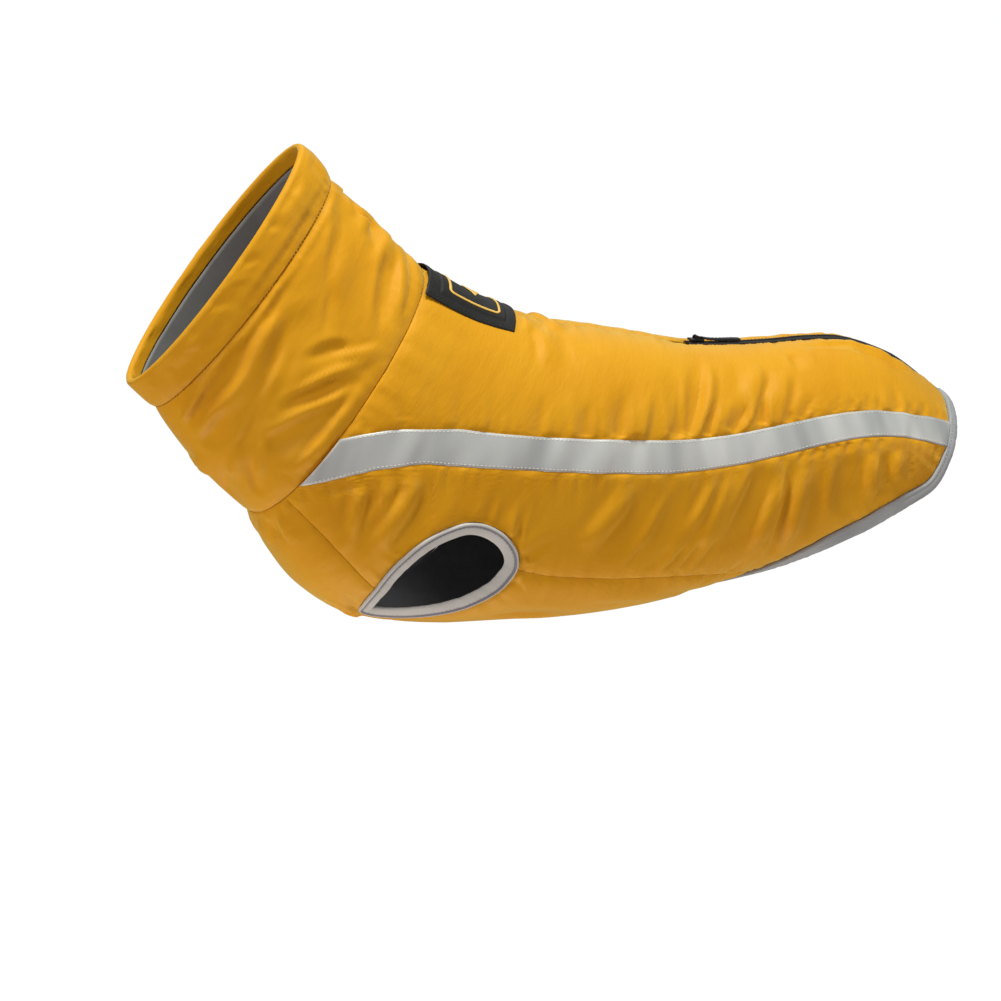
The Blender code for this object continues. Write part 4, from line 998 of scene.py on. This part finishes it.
print("materials:", len([m for m in bpy.data.materials if m.name[0].islower()]))

# %% [markdown]
# ## The collar and its rim band
#
# The collar is a soft tube. Its top is a band whose edge is folded inwards, with the lining starting
# behind the fold. Both are closed bands. The band's section runs forward along the outside, round
# the fold, back along the facing, and home inside the wadding.

# %% Collar and rim band
AROUND = np.linspace(0, 360, BAND_STEPS, endpoint=False)
FACE_DEPTH = 3.4                        # mm under the tube: the inner side of the padded cloth,
LINING_TOP, LINING_BOTTOM = 4.1, 5.0    # and the two sides of the lining
seam_half = SEAM_GAP / 2 / COLLAR_RING  # half a seam gap, in rings


def build_collar():
    """The collar from the rim band's seam to the neck seam, one band with a wall's thickness."""
    rings = CASING_SEAM + seam_half + (NECK_SEAM - CASING_SEAM - 2 * seam_half) * crowded(56)
    girth, ring = np.meshgrid(AROUND, np.concatenate([rings, rings[::-4]]), indexing="ij")
    height = np.full(ring.shape, -FACE_DEPTH)
    height[:, :len(rings)] = collar_face(ring[:, :len(rings)], girth[:, :len(rings)])
    return laid_band("collar_cloth", ring, girth, height, CLOTH)


def build_casing():
    """The rim band: its outside, the fold at its top, the facing, and the way back inside."""
    fold = 0.10                                     # ring where the outside starts to turn over
    outside = CASING_SEAM - seam_half - (CASING_SEAM - seam_half - fold) * crowded(26)
    turning = np.radians(np.linspace(80, -80, 9))
    facing = np.array((fold, 0.17, 0.24, 0.29, 0.31))
    inside = np.array((0.33, 0.5, 0.7, CASING_SEAM - seam_half))
    rings = np.concatenate([outside, fold - fold * np.cos(turning), facing, inside])
    girth, ring = np.meshgrid(AROUND, rings, indexing="ij")
    height = np.full(ring.shape, -FACE_DEPTH)
    count = len(outside)
    height[:, :count] = casing_face(ring[:, :count], girth[:, :count])
    top = height[:, count - 1:count]
    height[:, count:count + 9] = (top - LINING_BOTTOM) / 2 + (top + LINING_BOTTOM) / 2 * np.sin(turning)
    facing_rows = slice(count + 9, count + 14)
    height[:, facing_rows] = 0.35 * uneven(girth[:, facing_rows], (14, 23, 37), 51) - LINING_BOTTOM
    return laid_band("casing_cloth", ring, girth, height, CLOTH)


def build_collar_lining():
    """The lining, which starts behind the facing."""
    rings = np.linspace(LINING_START, NECK_SEAM - seam_half, 34)
    girth, ring = np.meshgrid(AROUND[::2], np.concatenate([rings, rings[::-3]]), indexing="ij")
    crumple = 0.4 * uneven(girth * 1.2 + ring * 9, (17, 29, 47), 53)
    height = np.full(ring.shape, -LINING_TOP)
    height[:, :len(rings)] = (crumple - LINING_BOTTOM)[:, :len(rings)]
    return laid_band("collar_lining_cloth", ring, girth, height, LINING)


casing, collar, collar_lining = build_casing(), build_collar(), build_collar_lining()
print("collar faces:", len(collar.data.polygons), "rim band faces:", len(casing.data.polygons))

# %% [markdown]
# ## Side panels, chest panel and their linings
#
# Each flank is one long panel from the zip down to the armhole and the side seam. The tape lies on
# it, on the same grid, a hair above the cloth, so the two always fit.

# %% Panels, tapes and linings
def build_side(side, sign):
    """A side's panel, the tape on it and the lining under it. Sign is 1 on the left, -1 on the right."""
    grid = SIDE * (1, sign)
    face = side_face(SIDE, sign)
    panel = laid_panel(f"side_{side}_cloth", grid, face, -FACE_DEPTH, CLOTH)
    band = slice(TOP_ROW, BOTTOM_ROW + 1)
    tape_places = inset(grid[:, band], ("start", "end"))
    edge = np.zeros(ROWS_TAPE + 1)
    edge[[0, -1]] = 0.35                            # the tape's edges are sewn down
    low = face[:, band] + SEAM_GAP
    tape = laid_panel(f"tape_{side}_cloth", tape_places, low + TAPE_THICK - edge, low, TAPE_CLOTH)
    coarse = grid[::2, ::2]
    crumple = 0.4 * uneven(coarse[..., 1] * 1.5 + coarse[..., 0] * 20, (19, 31, 53), 61 + sign)
    lining = laid_panel(f"lining_{side}_cloth", coarse, -LINING_TOP, crumple - LINING_BOTTOM, LINING)
    return panel, tape, lining


left_panel, left_tape, left_lining = build_side("left", 1)
right_panel, right_tape, right_lining = build_side("right", -1)
chest = laid_panel("chest_cloth", CHEST, chest_face(CHEST), -FACE_DEPTH, CLOTH)
chest_lining = laid_panel("lining_chest_cloth", CHEST[::2, ::2], -LINING_TOP, -LINING_BOTTOM, LINING)
print("side panel faces:", len(left_panel.data.polygons), "chest faces:", len(chest.data.polygons))

# %% [markdown]
# ## Bindings
#
# An armhole is finished with knitted elastic: a thin round edge outside, then a groove where it is
# sewn, and a flat facing that is turned into the opening. The hem is wrapped in a folded woven
# strip. Each is a cross-section carried along its edge.

# %% Even places along an edge
def resampled(path, count, closed):
    """The same path with an even number of places along it."""
    rows = np.vstack([path, path[:1]]) if closed else path
    arc = length_of(rows)
    at = np.interp(np.linspace(0, arc[-1], count + 1), arc, np.arange(len(rows)))
    places = spline(path, at, closed)
    return places[:-1] if closed else places

# %% Sections of the bindings
ARM_PROFILE = np.array([        # distance into the opening and height, mm, once round the section
    (0.15, -1.4), (0.5, -0.1), (1.2, 0.45), (2.0, 0.3), (2.6, -0.5), (3.1, -1.0), (3.7, -0.9),
    (5.0, -1.2), (7.0, -2.0), (9.0, -3.0), (10.4, -3.9), (10.8, -4.7), (10.4, -5.6), (8.4, -5.4),
    (5.6, -4.8), (3.0, -4.2), (1.6, -3.9), (0.3, -3.4)])
ARM_GROOVE = (3, 4, 5)          # the steps of the section that are the sewn groove
ARM_TURN, ARM_WAVES = 290, (9, 15, 26)      # the facing's waves, in 290ths of the way round
HEM_PROFILE = np.array([        # distance from the panels, outer and inner height, mm
    (0.15, 0.1, -3.6), (0.7, 0.55, -3.8), (1.6, 0.75, -3.8), (2.4, 0.35, -3.8), (3.4, 0.75, -3.8),
    (5.4, 0.85, -3.8), (7.2, 0.6, -3.7), (8.4, 0.0, -3.3), (9.0, -0.9, -2.6)])
HEM_TURN, HEM_WAVES = 1300, (11, 19, 33)    # the free edge's waves, in 1300ths of the way round

# %% Armhole bindings
ARMHOLE_EVEN = resampled(sampled(ARMHOLE, 0, len(ARMHOLE), 240, closed=True)[:-1], 26, closed=True)


def inside_armhole(distance, count):
    """Places along the armhole at a distance in mm into the opening."""
    return resampled(shifted(ARMHOLE_EVEN, -distance, closed=True), count, closed=True)


def build_armhole(side, sign):
    """Elastic binding: its section carried round the armhole, its facing a little wavy."""
    places = np.stack([inside_armhole(distance, BAND_STEPS) for distance, _ in ARM_PROFILE], 1)
    ring, girth = np.moveaxis(places, -1, 0)
    arc = np.linspace(0, ARM_TURN, len(ring))[:, None]
    depth = ARM_PROFILE[:, 0] / ARM_PROFILE[:, 0].max()
    height = ARM_PROFILE[:, 1] + 0.35 * uneven(arc, ARM_WAVES, 71 + sign) * depth
    piece = laid_band(f"armhole_{side}_cloth", ring, sign * girth, height, PALE)
    piece.data.materials.append(GROOVE_CLOTH)
    for index, face in enumerate(piece.data.polygons):
        if index % len(ARM_PROFILE) in ARM_GROOVE:
            face.material_index = 1
    return piece


armhole_left, armhole_right = build_armhole("left", 1), build_armhole("right", -1)
print("armhole binding faces:", len(armhole_left.data.polygons))

# %% Hem binding
HEM_STEPS = 240                 # steps along each half of the hem


def hem_grid(distances):
    """Places along the whole hem, from the zip's left side round the belly to its right side."""
    flank = SIDE_BASE[-2:-FLANK_STEPS - 1:-1, -1]
    middle = CHEST_BASE.shape[1] // 2
    half = np.vstack([SIDE_BASE[-1, ::2], flank, CHEST_BASE[-1, :middle + 1:2]])
    half = resampled(half, HEM_STEPS, closed=False)
    grid = np.stack([shifted(half, distance) for distance in distances])
    grid[:, -1, 1] = 180
    grid[:, 0, 1] = girth_at(grid[:, 0, 0], np.full(len(grid), ZIP_OPENING))
    other = (grid * (1, -1))[:, :-1][:, ::-1] + (0, 360)
    return np.concatenate([grid, other], 1)


def build_hem():
    """Folded strip round the tail end. Its free edge ripples a little, and flares on the flanks."""
    grid = hem_grid(HEM_PROFILE[:, 0])
    arc = np.linspace(0, HEM_TURN, grid.shape[1])
    ripple = 0.25 * uneven(arc, HEM_WAVES, 81)
    flare = np.interp(180 - np.abs(grid[..., 1] - 180), FLARE_GIRTH, FLARE)
    flare = flare * HEM_PROFILE[:, 0:1] / BINDING_WIDTH
    outer = HEM_PROFILE[:, 1:2] + ripple * np.linspace(0.3, 1, len(grid))[:, None]
    return laid_panel("hem_cloth", grid, outer + flare, HEM_PROFILE[:, 2:3] + flare, BINDING)


hem = build_hem()
print("hem faces:", len(hem.data.polygons))

# %% [markdown]
# ## The zip
#
# A coil zip: two woven tapes, each with a nylon coil whose loops lock into the other's. A loop shows
# as a short bar across the zip. One bar is modelled, and an Array with a Curve modifier repeats it
# along the back line. The two sets are offset by half a pitch, as interlocked coils are.

# %% Sizes of the zip
CHAIN_HALF, CHAIN_RISE = 2.2, 0.9       # mm: half the coils' width, their height over the tapes
ZIP_SINK, ZIP_TAPE_THICK = 0.9, 1.0     # mm that the tapes lie under the tube, and their thickness
COIL_PITCH, COIL_BAR = 1.5, 0.42        # mm between loops of one coil, and a bar's radius
BUCKLE_RING = (11.3, 12.0, 12.6, 13.1, 13.5, 14.0, 14.5, 14.9)  # a closed zip is stiffer than the
BUCKLE = (0.0, 0.6, 1.0, 0.5, 0.6, 1.2, 0.5, 0.0)               # cloth, so it rises here, by these mm


def buckled(ring):
    """How far the zip has risen at a ring, mm."""
    return np.interp(ring, BUCKLE_RING, BUCKLE)

# %% A row of small pieces along a line
def guide(points):
    """A curve object through points in metres, for a row to follow."""
    data = bpy.data.curves.new("guide", "CURVE")
    data.dimensions = "3D"
    data.twist_mode = "Z_UP"
    line = data.splines.new("POLY")
    line.points.add(len(points) - 1)
    for point, spot in zip(line.points, points):
        point.co = (*spot, 1)
    made = bpy.data.objects.new("guide", data)
    bpy.context.scene.collection.objects.link(made)
    return made


def repeat_along(piece, points, pitch):
    """Repeat a small piece along a line, a pitch apart in metres, bent with the line."""
    line = guide(points)
    row = piece.modifiers.new("row", "ARRAY")
    row.fit_type = "FIT_CURVE"
    row.curve = line
    row.use_relative_offset = False
    row.use_constant_offset = True
    row.constant_offset_displace = (pitch, 0, 0)
    bend = piece.modifiers.new("bend", "CURVE")
    bend.object = line
    apply_all(piece)
    bpy.data.objects.remove(line, do_unlink=True)
    return piece

# %% Zip tapes
def cylinder_across(radius, width, place, sides=24):
    """A cylinder that lies across the coat, sizes and place in mm."""
    return added(bpy.ops.mesh.primitive_cylinder_add, vertices=sides, radius=radius * MM,
                 depth=width * MM, location=Vector(place) * MM, rotation=(math.pi / 2, 0, 0))


def build_zip_tape(side, sign):
    """One woven tape, from the coil to the side panel, with a small rib next to the coil."""
    rings = np.linspace(ZIP_START + ZIP_RUN_IN, 15.5, 200)
    widths = np.linspace(CHAIN_HALF + SEAM_GAP, ZIP_OPENING - SEAM_GAP, 6)
    girth = np.stack([girth_at(rings, np.full(len(rings), y)) for y in widths], 1)
    grid = np.stack([np.repeat(rings[:, None], len(widths), 1), sign * girth], -1)
    rib = np.array((0.25, 0.1, 0, 0, 0, 0))
    rise = buckled(rings)[:, None] * np.linspace(1, 0.2, len(widths)) - ZIP_SINK
    return laid_panel(f"zip_tape_{side}_cloth", grid, rib + rise, rise - ZIP_TAPE_THICK, ZIP_CLOTH)


zip_left, zip_right = build_zip_tape("left", 1), build_zip_tape("right", -1)
print("zip tape faces:", len(zip_left.data.polygons))

# %% Coil
def build_coil():
    """Both coils as one piece: a bar for each loop, in two rows half a pitch apart."""
    low = -ZIP_SINK - ZIP_TAPE_THICK - CHAIN_RISE
    top = CHAIN_RISE - ZIP_SINK
    height, middle = (top - low) / 2, (top + low) / 2
    rings = np.linspace(ZIP_START + ZIP_RUN_IN + 0.05, 15.45, 200)
    coils = []
    for sign in (1, -1):
        bar = cylinder_across(COIL_BAR, 1.3 * CHAIN_HALF, (0, sign * 0.33 * CHAIN_HALF, 0), 8)
        edited(bar, bpy.ops.transform.resize, value=(1, 1, height / COIL_BAR), center_override=(0, 0, 0))
        soft = bar.modifiers.new("round ends", "BEVEL")
        soft.width, soft.segments = 0.25 * MM, 2
        start = 0 if sign > 0 else COIL_PITCH / 2 / BODY_RING
        path = lifted(rings + start, np.zeros(len(rings)), middle + buckled(rings))
        coils.append(repeat_along(bar, path, COIL_PITCH * MM))
    only(coils[0])
    coils[1].select_set(True)
    bpy.ops.object.join()
    coil = bpy.context.object
    coil.name = "zip_coil"
    coil.data.materials.clear()
    coil.data.materials.append(NYLON)
    bpy.ops.object.shade_smooth_by_angle(angle=math.radians(50))
    return coil


coil = build_coil()
print("zip coil faces:", len(coil.data.polygons))

# %% [markdown]
# ## Slider and pull
#
# The slider is a small cast shield: wide where the coils part, narrower behind, with two ears on
# top. The pull hangs from a pin between the ears and lies back along the zip. They are modelled at
# the world's middle, where they are easy to shape, and then set on the back line.

# %% Sizes and place of the slider and its pull
SLIDER_RING = 9.32
SLIDER_LONG, SLIDER_WIDE, SLIDER_HIGH = 12.0, 9.0, 1.8          # mm, as are the next rows
EAR_LONG, EAR_THICK, EAR_HIGH = 4.0, 1.2, 2.6
EYE_LONG, EYE_RADIUS = 3.4, 1.1
TAB_LONG, TAB_WIDE, TAB_THICK, TAB_NECK = 36.0, 7.5, 1.6, 5.0
TAB_DROP, TAB_SAG = 1.5, 1.3            # degrees that the tab leans down, and mm that it sags
RIB_COUNT, RIB_PITCH, RIB_LONG = 6, 3.0, 1.3


def crown_frame(ring, height):
    """Place on the back line at a height over the tube, X along the back, Z outwards, metres."""
    along, _, normal = directions(np.array(ring), np.array(0.0))
    point = (skin(ring, 0.0) + height * normal) * MM
    x, z = Vector(unit(along)), Vector(normal)
    turned = Matrix((x, z.cross(x), z)).transposed()
    return Matrix.Translation(Vector(point)) @ turned.to_4x4()

# %% Blocks for the hard pieces
def rounded_block(size, place, edge, segments=3, cuts=0):
    """A box of a size and place in mm, with rounded edges. Cuts let it bend."""
    block = added(bpy.ops.mesh.primitive_cube_add, size=1, location=Vector(place) * MM,
                  scale=Vector(size) * MM)
    if cuts:
        edited(block, bpy.ops.mesh.subdivide, number_cuts=cuts)
    soft = block.modifiers.new("round edges", "BEVEL")
    soft.width, soft.segments = edge * MM, segments
    apply_all(block)
    return block


def pinched(block, beyond_x, factor):
    """Draw in the width of the end of a block that lies beyond an x, in mm."""
    only(block)
    bpy.ops.object.mode_set(mode="EDIT")
    bpy.ops.mesh.select_all(action="DESELECT")
    bpy.ops.object.mode_set(mode="OBJECT")
    for vertex in block.data.vertices:
        vertex.select = vertex.co.x > beyond_x * MM
    bpy.ops.object.mode_set(mode="EDIT")
    bpy.ops.transform.resize(value=(1, factor, 1), center_override=(0, 0, 0))
    bpy.ops.object.mode_set(mode="OBJECT")
    return block


def joined(name, pieces, material, matrix):
    """Join pieces to one of a material, and move its mesh to its place."""
    only(pieces[0])
    for piece in pieces[1:]:
        piece.select_set(True)
    bpy.ops.object.join()
    whole = bpy.context.object
    whole.name = name
    whole.data.transform(matrix)
    whole.data.materials.clear()
    whole.data.materials.append(material)
    bpy.ops.object.shade_smooth_by_angle(angle=math.radians(40))
    return whole

# %% Slider
def build_slider():
    """The shield and its two ears. Also returns its frame on the back line."""
    place = crown_frame(SLIDER_RING, CHAIN_RISE - ZIP_SINK + SEAM_GAP)
    plate = rounded_block((SLIDER_LONG, SLIDER_WIDE, SLIDER_HIGH), (0, 0, SLIDER_HIGH / 2), 0.9, 4)
    pieces = [pinched(plate, 2.0, 0.72)]
    for sign in (1, -1):
        y = sign * (EYE_LONG / 2 + SEAM_GAP + EAR_THICK / 2)
        z = SLIDER_HIGH + EAR_HIGH - EAR_LONG / 2
        pieces.append(cylinder_across(EAR_LONG / 2, EAR_THICK, (0, y, z)))
    return joined("slider", pieces, METAL, place), place


slider, slider_place = build_slider()
print("slider at", tuple(round(c, 3) for c in slider_place.translation), "m")

# %% Pull
def build_pull(place):
    """The pull: a barrel on the slider's pin, a neck and a ribbed tab that sags on to the zip."""
    eye = Matrix.Translation(Vector((0, 0, SLIDER_HIGH + SEAM_GAP + EYE_RADIUS)) * MM)
    lean = Matrix.Rotation(math.radians(TAB_DROP), 4, "Y")
    barrel = cylinder_across(EYE_RADIUS, EYE_LONG, (0, 0, 0))
    neck = rounded_block((TAB_NECK, EYE_LONG, TAB_THICK - 0.4), (TAB_NECK / 2 + 0.4, 0, 0), 0.3)
    pieces = [barrel, neck]
    tab = TAB_LONG - TAB_NECK
    plate = rounded_block((tab, TAB_WIDE - 0.8, TAB_THICK - 0.3), (TAB_NECK + tab / 2, 0, 0), 0.6, 4, 12)
    pieces.append(pinched(plate, TAB_LONG - 1.2, 0.8))
    for index in range(RIB_COUNT):
        x = TAB_LONG - 2 * RIB_PITCH - index * RIB_PITCH
        pieces.append(rounded_block((RIB_LONG, TAB_WIDE, TAB_THICK), (x, 0, 0), 0.4))
    pull = joined("pull", pieces, RUBBER, Matrix.Identity(4))
    for vertex in pull.data.vertices:               # soft rubber sags on to the zip in its middle
        share = min(max((vertex.co.x / MM - EYE_RADIUS) / (TAB_LONG - EYE_RADIUS), 0), 1)
        vertex.co.z -= TAB_SAG * MM * math.sin(math.pi * share**0.7)**1.5
    pull.data.transform(place @ eye @ lean)
    return pull


pull = build_pull(slider_place)
print("pull faces:", len(pull.data.polygons))

# %% [markdown]
# ## The badge
#
# Moulded rubber, sewn on over the shoulders: a flat border with a soft edge, a raised plate in the
# middle, and a printed gold frame. A plain lozenge fills the frame. Distances are in mm along and
# across the back from the badge's middle.

# %% Sizes of the badge
PATCH_MIDDLE, PATCH_RING = 3.98, 39.0   # ring of its middle, and mm from ring to ring here
PATCH_HALF_LONG, PATCH_HALF_WIDE = 37.5, 40.5
PLATE_HALF_LONG, PLATE_HALF_WIDE = 27.5, 33.0
PATCH_SEAT, PATCH_FACE, PLATE_FACE = 1.3, 2.4, 3.2      # heights: underside, border, raised plate
FRAME_HALF_LONG, FRAME_HALF_WIDE, FRAME_LINE, FRAME_CORNER = 22.3, 29.5, 2.4, 4.2
LOZENGE_HALF_LONG, LOZENGE_HALF_WIDE = 8.0, 16.0
EDGE_THICK, BORDER_ROUND, PLATE_ROUND = 0.3, 1.2, 1.0   # mm at the rim, and widths of the shoulders
PATCH_GROOVE, PATCH_GROOVE_AT, PATCH_GROOVE_WIDE = 0.25, 0.8, 0.7
GILT_THICK, GILT_EDGE, GILT_ROUND = 0.6, 0.15, 0.3      # the last as a share of the lozenge


def badge_places(a, b):
    """Places from distances along the back line and across it, mm from the badge's middle."""
    ring = PATCH_MIDDLE + a / PATCH_RING
    return np.stack([ring, np.sign(b) * girth_at(ring, np.abs(b))], -1)


def softened(inside, width):
    """0 outside an edge, 1 well inside it, with a rounded shoulder of a width in mm."""
    share = np.clip(inside / width, 0, 1)
    return np.sqrt(1 - (1 - share)**2)

# %% Badge
def build_badge():
    """Border and raised plate in one moulding, with a fine groove between them."""
    a, b = np.meshgrid(np.linspace(-PATCH_HALF_LONG, PATCH_HALF_LONG, 109),
                       np.linspace(-PATCH_HALF_WIDE, PATCH_HALF_WIDE, 115), indexing="ij")
    rim = np.minimum(PATCH_HALF_LONG - np.abs(a), PATCH_HALF_WIDE - np.abs(b))
    plate = np.minimum(PLATE_HALF_LONG - np.abs(a), PLATE_HALF_WIDE - np.abs(b))
    edge = PATCH_SEAT + EDGE_THICK
    border = edge + (PATCH_FACE - edge) * softened(rim, BORDER_ROUND)
    groove = PATCH_GROOVE * np.exp(-((plate + PATCH_GROOVE_AT) / PATCH_GROOVE_WIDE)**2)
    height = border - groove + (PLATE_FACE - PATCH_FACE) * softened(plate, PLATE_ROUND)
    return laid_panel("badge", badge_places(a, b), height, PATCH_SEAT, RUBBER)


badge = build_badge()
print("badge faces:", len(badge.data.polygons))

# %% Frame and lozenge
def rounded_rectangle(inwards):
    """Outline of the badge's frame, drawn in by some mm: four arcs with straight runs between them."""
    radius = FRAME_CORNER - inwards
    middles = np.array([(1, 1), (-1, 1), (-1, -1), (1, -1)]) * (FRAME_HALF_LONG - FRAME_CORNER,
                                                                FRAME_HALF_WIDE - FRAME_CORNER)
    share = np.linspace(0, 1, 20)[1:-1, None]
    outline = []
    for quarter, middle in enumerate(middles):
        turns = np.radians(np.linspace(0, 90, 9) + 90 * quarter)
        arc = middle + radius * np.stack([np.cos(turns), np.sin(turns)], -1)
        run = middles[(quarter + 1) % 4] - middle
        outline += [arc, arc[-1] + run * share]
    return np.vstack(outline)


def build_badge_frame():
    """The printed frame, carried round as a band with a softly raised section."""
    section = np.array([(0, 0.25), (0.25, 1), (0.5, 1), (0.75, 1), (1, 0.25), (0.95, 0), (0.05, 0)])
    loops = [badge_places(*rounded_rectangle(line).T) for line in section[:, 0] * FRAME_LINE]
    ring, girth = np.moveaxis(np.stack(loops, 1), -1, 0)
    height = PLATE_FACE + 0.1 + GILT_THICK * section[:, 1]
    return laid_band("badge_frame", ring, girth, height, GILT)


def build_lozenge():
    """A plain lozenge: a square grid laid corner to corner."""
    s, t = np.meshgrid(np.linspace(-1, 1, 25), np.linspace(-1, 1, 25), indexing="ij")
    places = badge_places((s - t) / 2 * LOZENGE_HALF_LONG, (s + t) / 2 * LOZENGE_HALF_WIDE)
    rim = 1 - np.maximum(np.abs(s), np.abs(t))
    low = PLATE_FACE + SEAM_GAP
    height = low + GILT_EDGE + (GILT_THICK - GILT_EDGE) * softened(rim, GILT_ROUND)
    return laid_panel("badge_lozenge", places, height, low, GILT)


badge_frame, lozenge = build_badge_frame(), build_lozenge()
print("badge frame faces:", len(badge_frame.data.polygons))

# %% [markdown]
# ## Stitching
#
# Rows of lockstitch hold the tape, the bindings, the rim band, the badge and the zip. One stitch is
# a stretched ball of thread. It is repeated along a line that lies on the sewn piece, so each row
# follows every wave of the cloth.

# %% Stitches
STITCH_LONG, STITCH_PITCH, THREAD = 2.3, 3.1, 0.33      # mm: stitch, from one to the next, radius
TAPE_INSET, ARMHOLE_INSET, BADGE_INSET, ZIP_ASIDE, HEM_INSET = 1.8, 4.2, 2.6, 3.0, 2.4  # row to edge
ARMHOLE_ROW, RIM_ROW, HEM_ROW = -1.0, -1.9, 0.5         # heights of rows over the tube


def stitch_row(name, path, height, material):
    """A row of stitches along a path of places, at heights in mm over the tube."""
    size = Vector((STITCH_LONG / 2, THREAD, THREAD)) * MM
    stitch = added(bpy.ops.mesh.primitive_uv_sphere_add, segments=6, ring_count=5, radius=1, scale=size)
    stitch.name = name
    repeat_along(stitch, lifted(path[:, 0], path[:, 1], height), STITCH_PITCH * MM)
    stitch.data.materials.append(material)
    only(stitch)
    bpy.ops.object.shade_smooth()
    return stitch


def tape_stitches(side, sign, name, edge, inwards):
    """The row along one edge of a tape, from just behind the neck seam."""
    path = shifted(edge[4:], -inwards)
    height = side_face(path, sign) + SEAM_GAP + TAPE_THICK - 0.05
    return stitch_row(f"stitches_tape_{name}_{side}", path * (1, sign), height, PALE_THREAD)


def badge_border_path():
    """A rectangle of places along the badge's border."""
    run, ones = np.linspace(-1, 1, 60), np.ones(60)
    a = np.concatenate([run, ones, -run, -ones]) * (PATCH_HALF_LONG - BADGE_INSET)
    b = np.concatenate([ones, -run, -ones, run]) * (PATCH_HALF_WIDE - BADGE_INSET)
    return badge_places(a, b)

# %% All the rows
def build_stitches():
    """Every row of stitches, those in pairs first."""
    rows = []
    for side, sign in (("left", 1), ("right", -1)):
        rows.append(tape_stitches(side, sign, "top", TAPE_TOP, TAPE_INSET))
        rows.append(tape_stitches(side, sign, "bottom", TAPE_BOTTOM, -TAPE_INSET))
        armhole = inside_armhole(ARMHOLE_INSET, 200)
        armhole = np.vstack([armhole, armhole[:1]])
        rows.append(stitch_row(f"stitches_armhole_{side}", armhole * (1, sign), ARMHOLE_ROW, GREY_THREAD))
        along = np.linspace(ZIP_START + ZIP_RUN_IN, 15.1, 200)
        beside = np.stack([along, girth_at(along, np.full(200, ZIP_OPENING + ZIP_ASIDE))], -1)
        face = side_face(beside, sign)
        rows.append(stitch_row(f"stitches_zip_{side}", beside * (1, sign), face + 0.05, YELLOW_THREAD))
    rows.append(stitch_row("stitches_rim", ring_path(CASING_SEAM), RIM_ROW, YELLOW_THREAD))
    rows.append(stitch_row("stitches_hem", hem_grid([HEM_INSET])[0], HEM_ROW, GREY_THREAD))
    rows.append(stitch_row("stitches_badge", badge_border_path(), PATCH_FACE, BLACK_THREAD))
    return rows


stitches = build_stitches()
print("rows of stitches:", len(stitches), "faces:", sum(len(row.data.polygons) for row in stitches))

# %% [markdown]
# ## What each piece stands for
#
# Every piece rides on a body of the solid model, so that it moves with it, and names the solids that
# it takes the place of. Only the pull turns. The rest is one soft body.

# %% Bodies, solids and finishes
STANDS_FOR = {                  # each piece and the solid that it takes the place of
    casing: "collar_casing", collar: "collar", left_panel: "side_left", right_panel: "side_right",
    chest: "chest", collar_lining: "lining_collar", left_lining: "lining_left",
    right_lining: "lining_right", chest_lining: "lining_chest", left_tape: "tape_left",
    right_tape: "tape_right", armhole_left: "armhole_binding_left",
    armhole_right: "armhole_binding_right", hem: "hem_binding", zip_left: "zip_tape_left",
    zip_right: "zip_tape_right", coil: "zip_chain", slider: "zip_slider", pull: "zip_pull",
    badge: "patch_base", badge_frame: "patch_frame", lozenge: "patch_motif",
}
for piece, solid in STANDS_FOR.items():
    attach(piece, "pull" if piece == pull else "coat")
    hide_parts(solid)
for row in stitches:
    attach(row, "coat")

# %% [markdown]
# ### A record for how a sheet was cut
#
# A lining panel is cut a little larger than the space it lies in, the reflective tape comes off a
# roll 25 mm wide, and the armhole's elastic off one 14 mm wide. The hem strip and the zip's tapes are
# sewn to the linings.

# %% A record for cut sizes
Cut = namedtuple("Cut", "piece under width length area held sewn_on",   # metres and square metres
                 defaults=[None, "laid", ()])

# %% [markdown]
# ## Studio
#
# A big soft light over the back and a weaker one from the front give the cloth its slow change from
# bright crown to amber belly. The floor is plain and pale.

# %% Floor, lights and world
FLOOR_Z = -1.6


def soft_light(name, place, size, watts, colour):
    """A round area light that looks at the coat; size in metres."""
    bpy.ops.object.light_add(type="AREA", location=place)
    light = bpy.context.object
    light.name = name
    light.data.shape = "DISK"
    light.data.size = size
    light.data.energy = watts
    light.data.color = linear(colour)[:3]
    light.rotation_euler = (LOOK_AT - Vector(place)).to_track_quat("-Z", "Y").to_euler()
    return light


floor = added(bpy.ops.mesh.primitive_plane_add, size=160, location=(0, 0, FLOOR_Z))
floor.name = "floor"
floor_paint, _, floor_shader = started("pale floor", 0.9)
floor_shader.inputs["Base Color"].default_value = linear("#9A9A9A")
floor_shader.inputs["Emission Color"].default_value = linear("#FFFFFF")
floor_shader.inputs["Emission Strength"].default_value = 0.93
floor.data.materials.append(floor_paint)
only_floor = bpy.data.collections.new("lit by the floor's own glow")
only_floor.objects.link(floor)
floor.light_linking.receiver_collection = only_floor

soft_light("key over the back", (-0.1, -0.3, 2.2), 0.7, 48, "#FAFFEE")
soft_light("fill from the front", (-2.0, -1.1, 0.6), 0.7, 21.5, "#FFF2E0")
soft_light("edge from behind", (0.9, 1.8, 1.4), 1.4, 5, "#FFFFFF")
soft_light("bounce from below", (-0.2, -0.15, -1.3), 1.0, 9, "#FFF0DC")
soft_light("glow from the tail side", (2.0, -1.4, 0.1), 0.8, 15.5, "#FFF2E0")
world = bpy.data.worlds.new("studio")
world.use_nodes = True
world.node_tree.nodes["Background"].inputs["Color"].default_value = linear("#FFFFFF")
world.node_tree.nodes["Background"].inputs["Strength"].default_value = 0.22
bpy.context.scene.world = world
bpy.context.scene.view_settings.view_transform = "Standard"
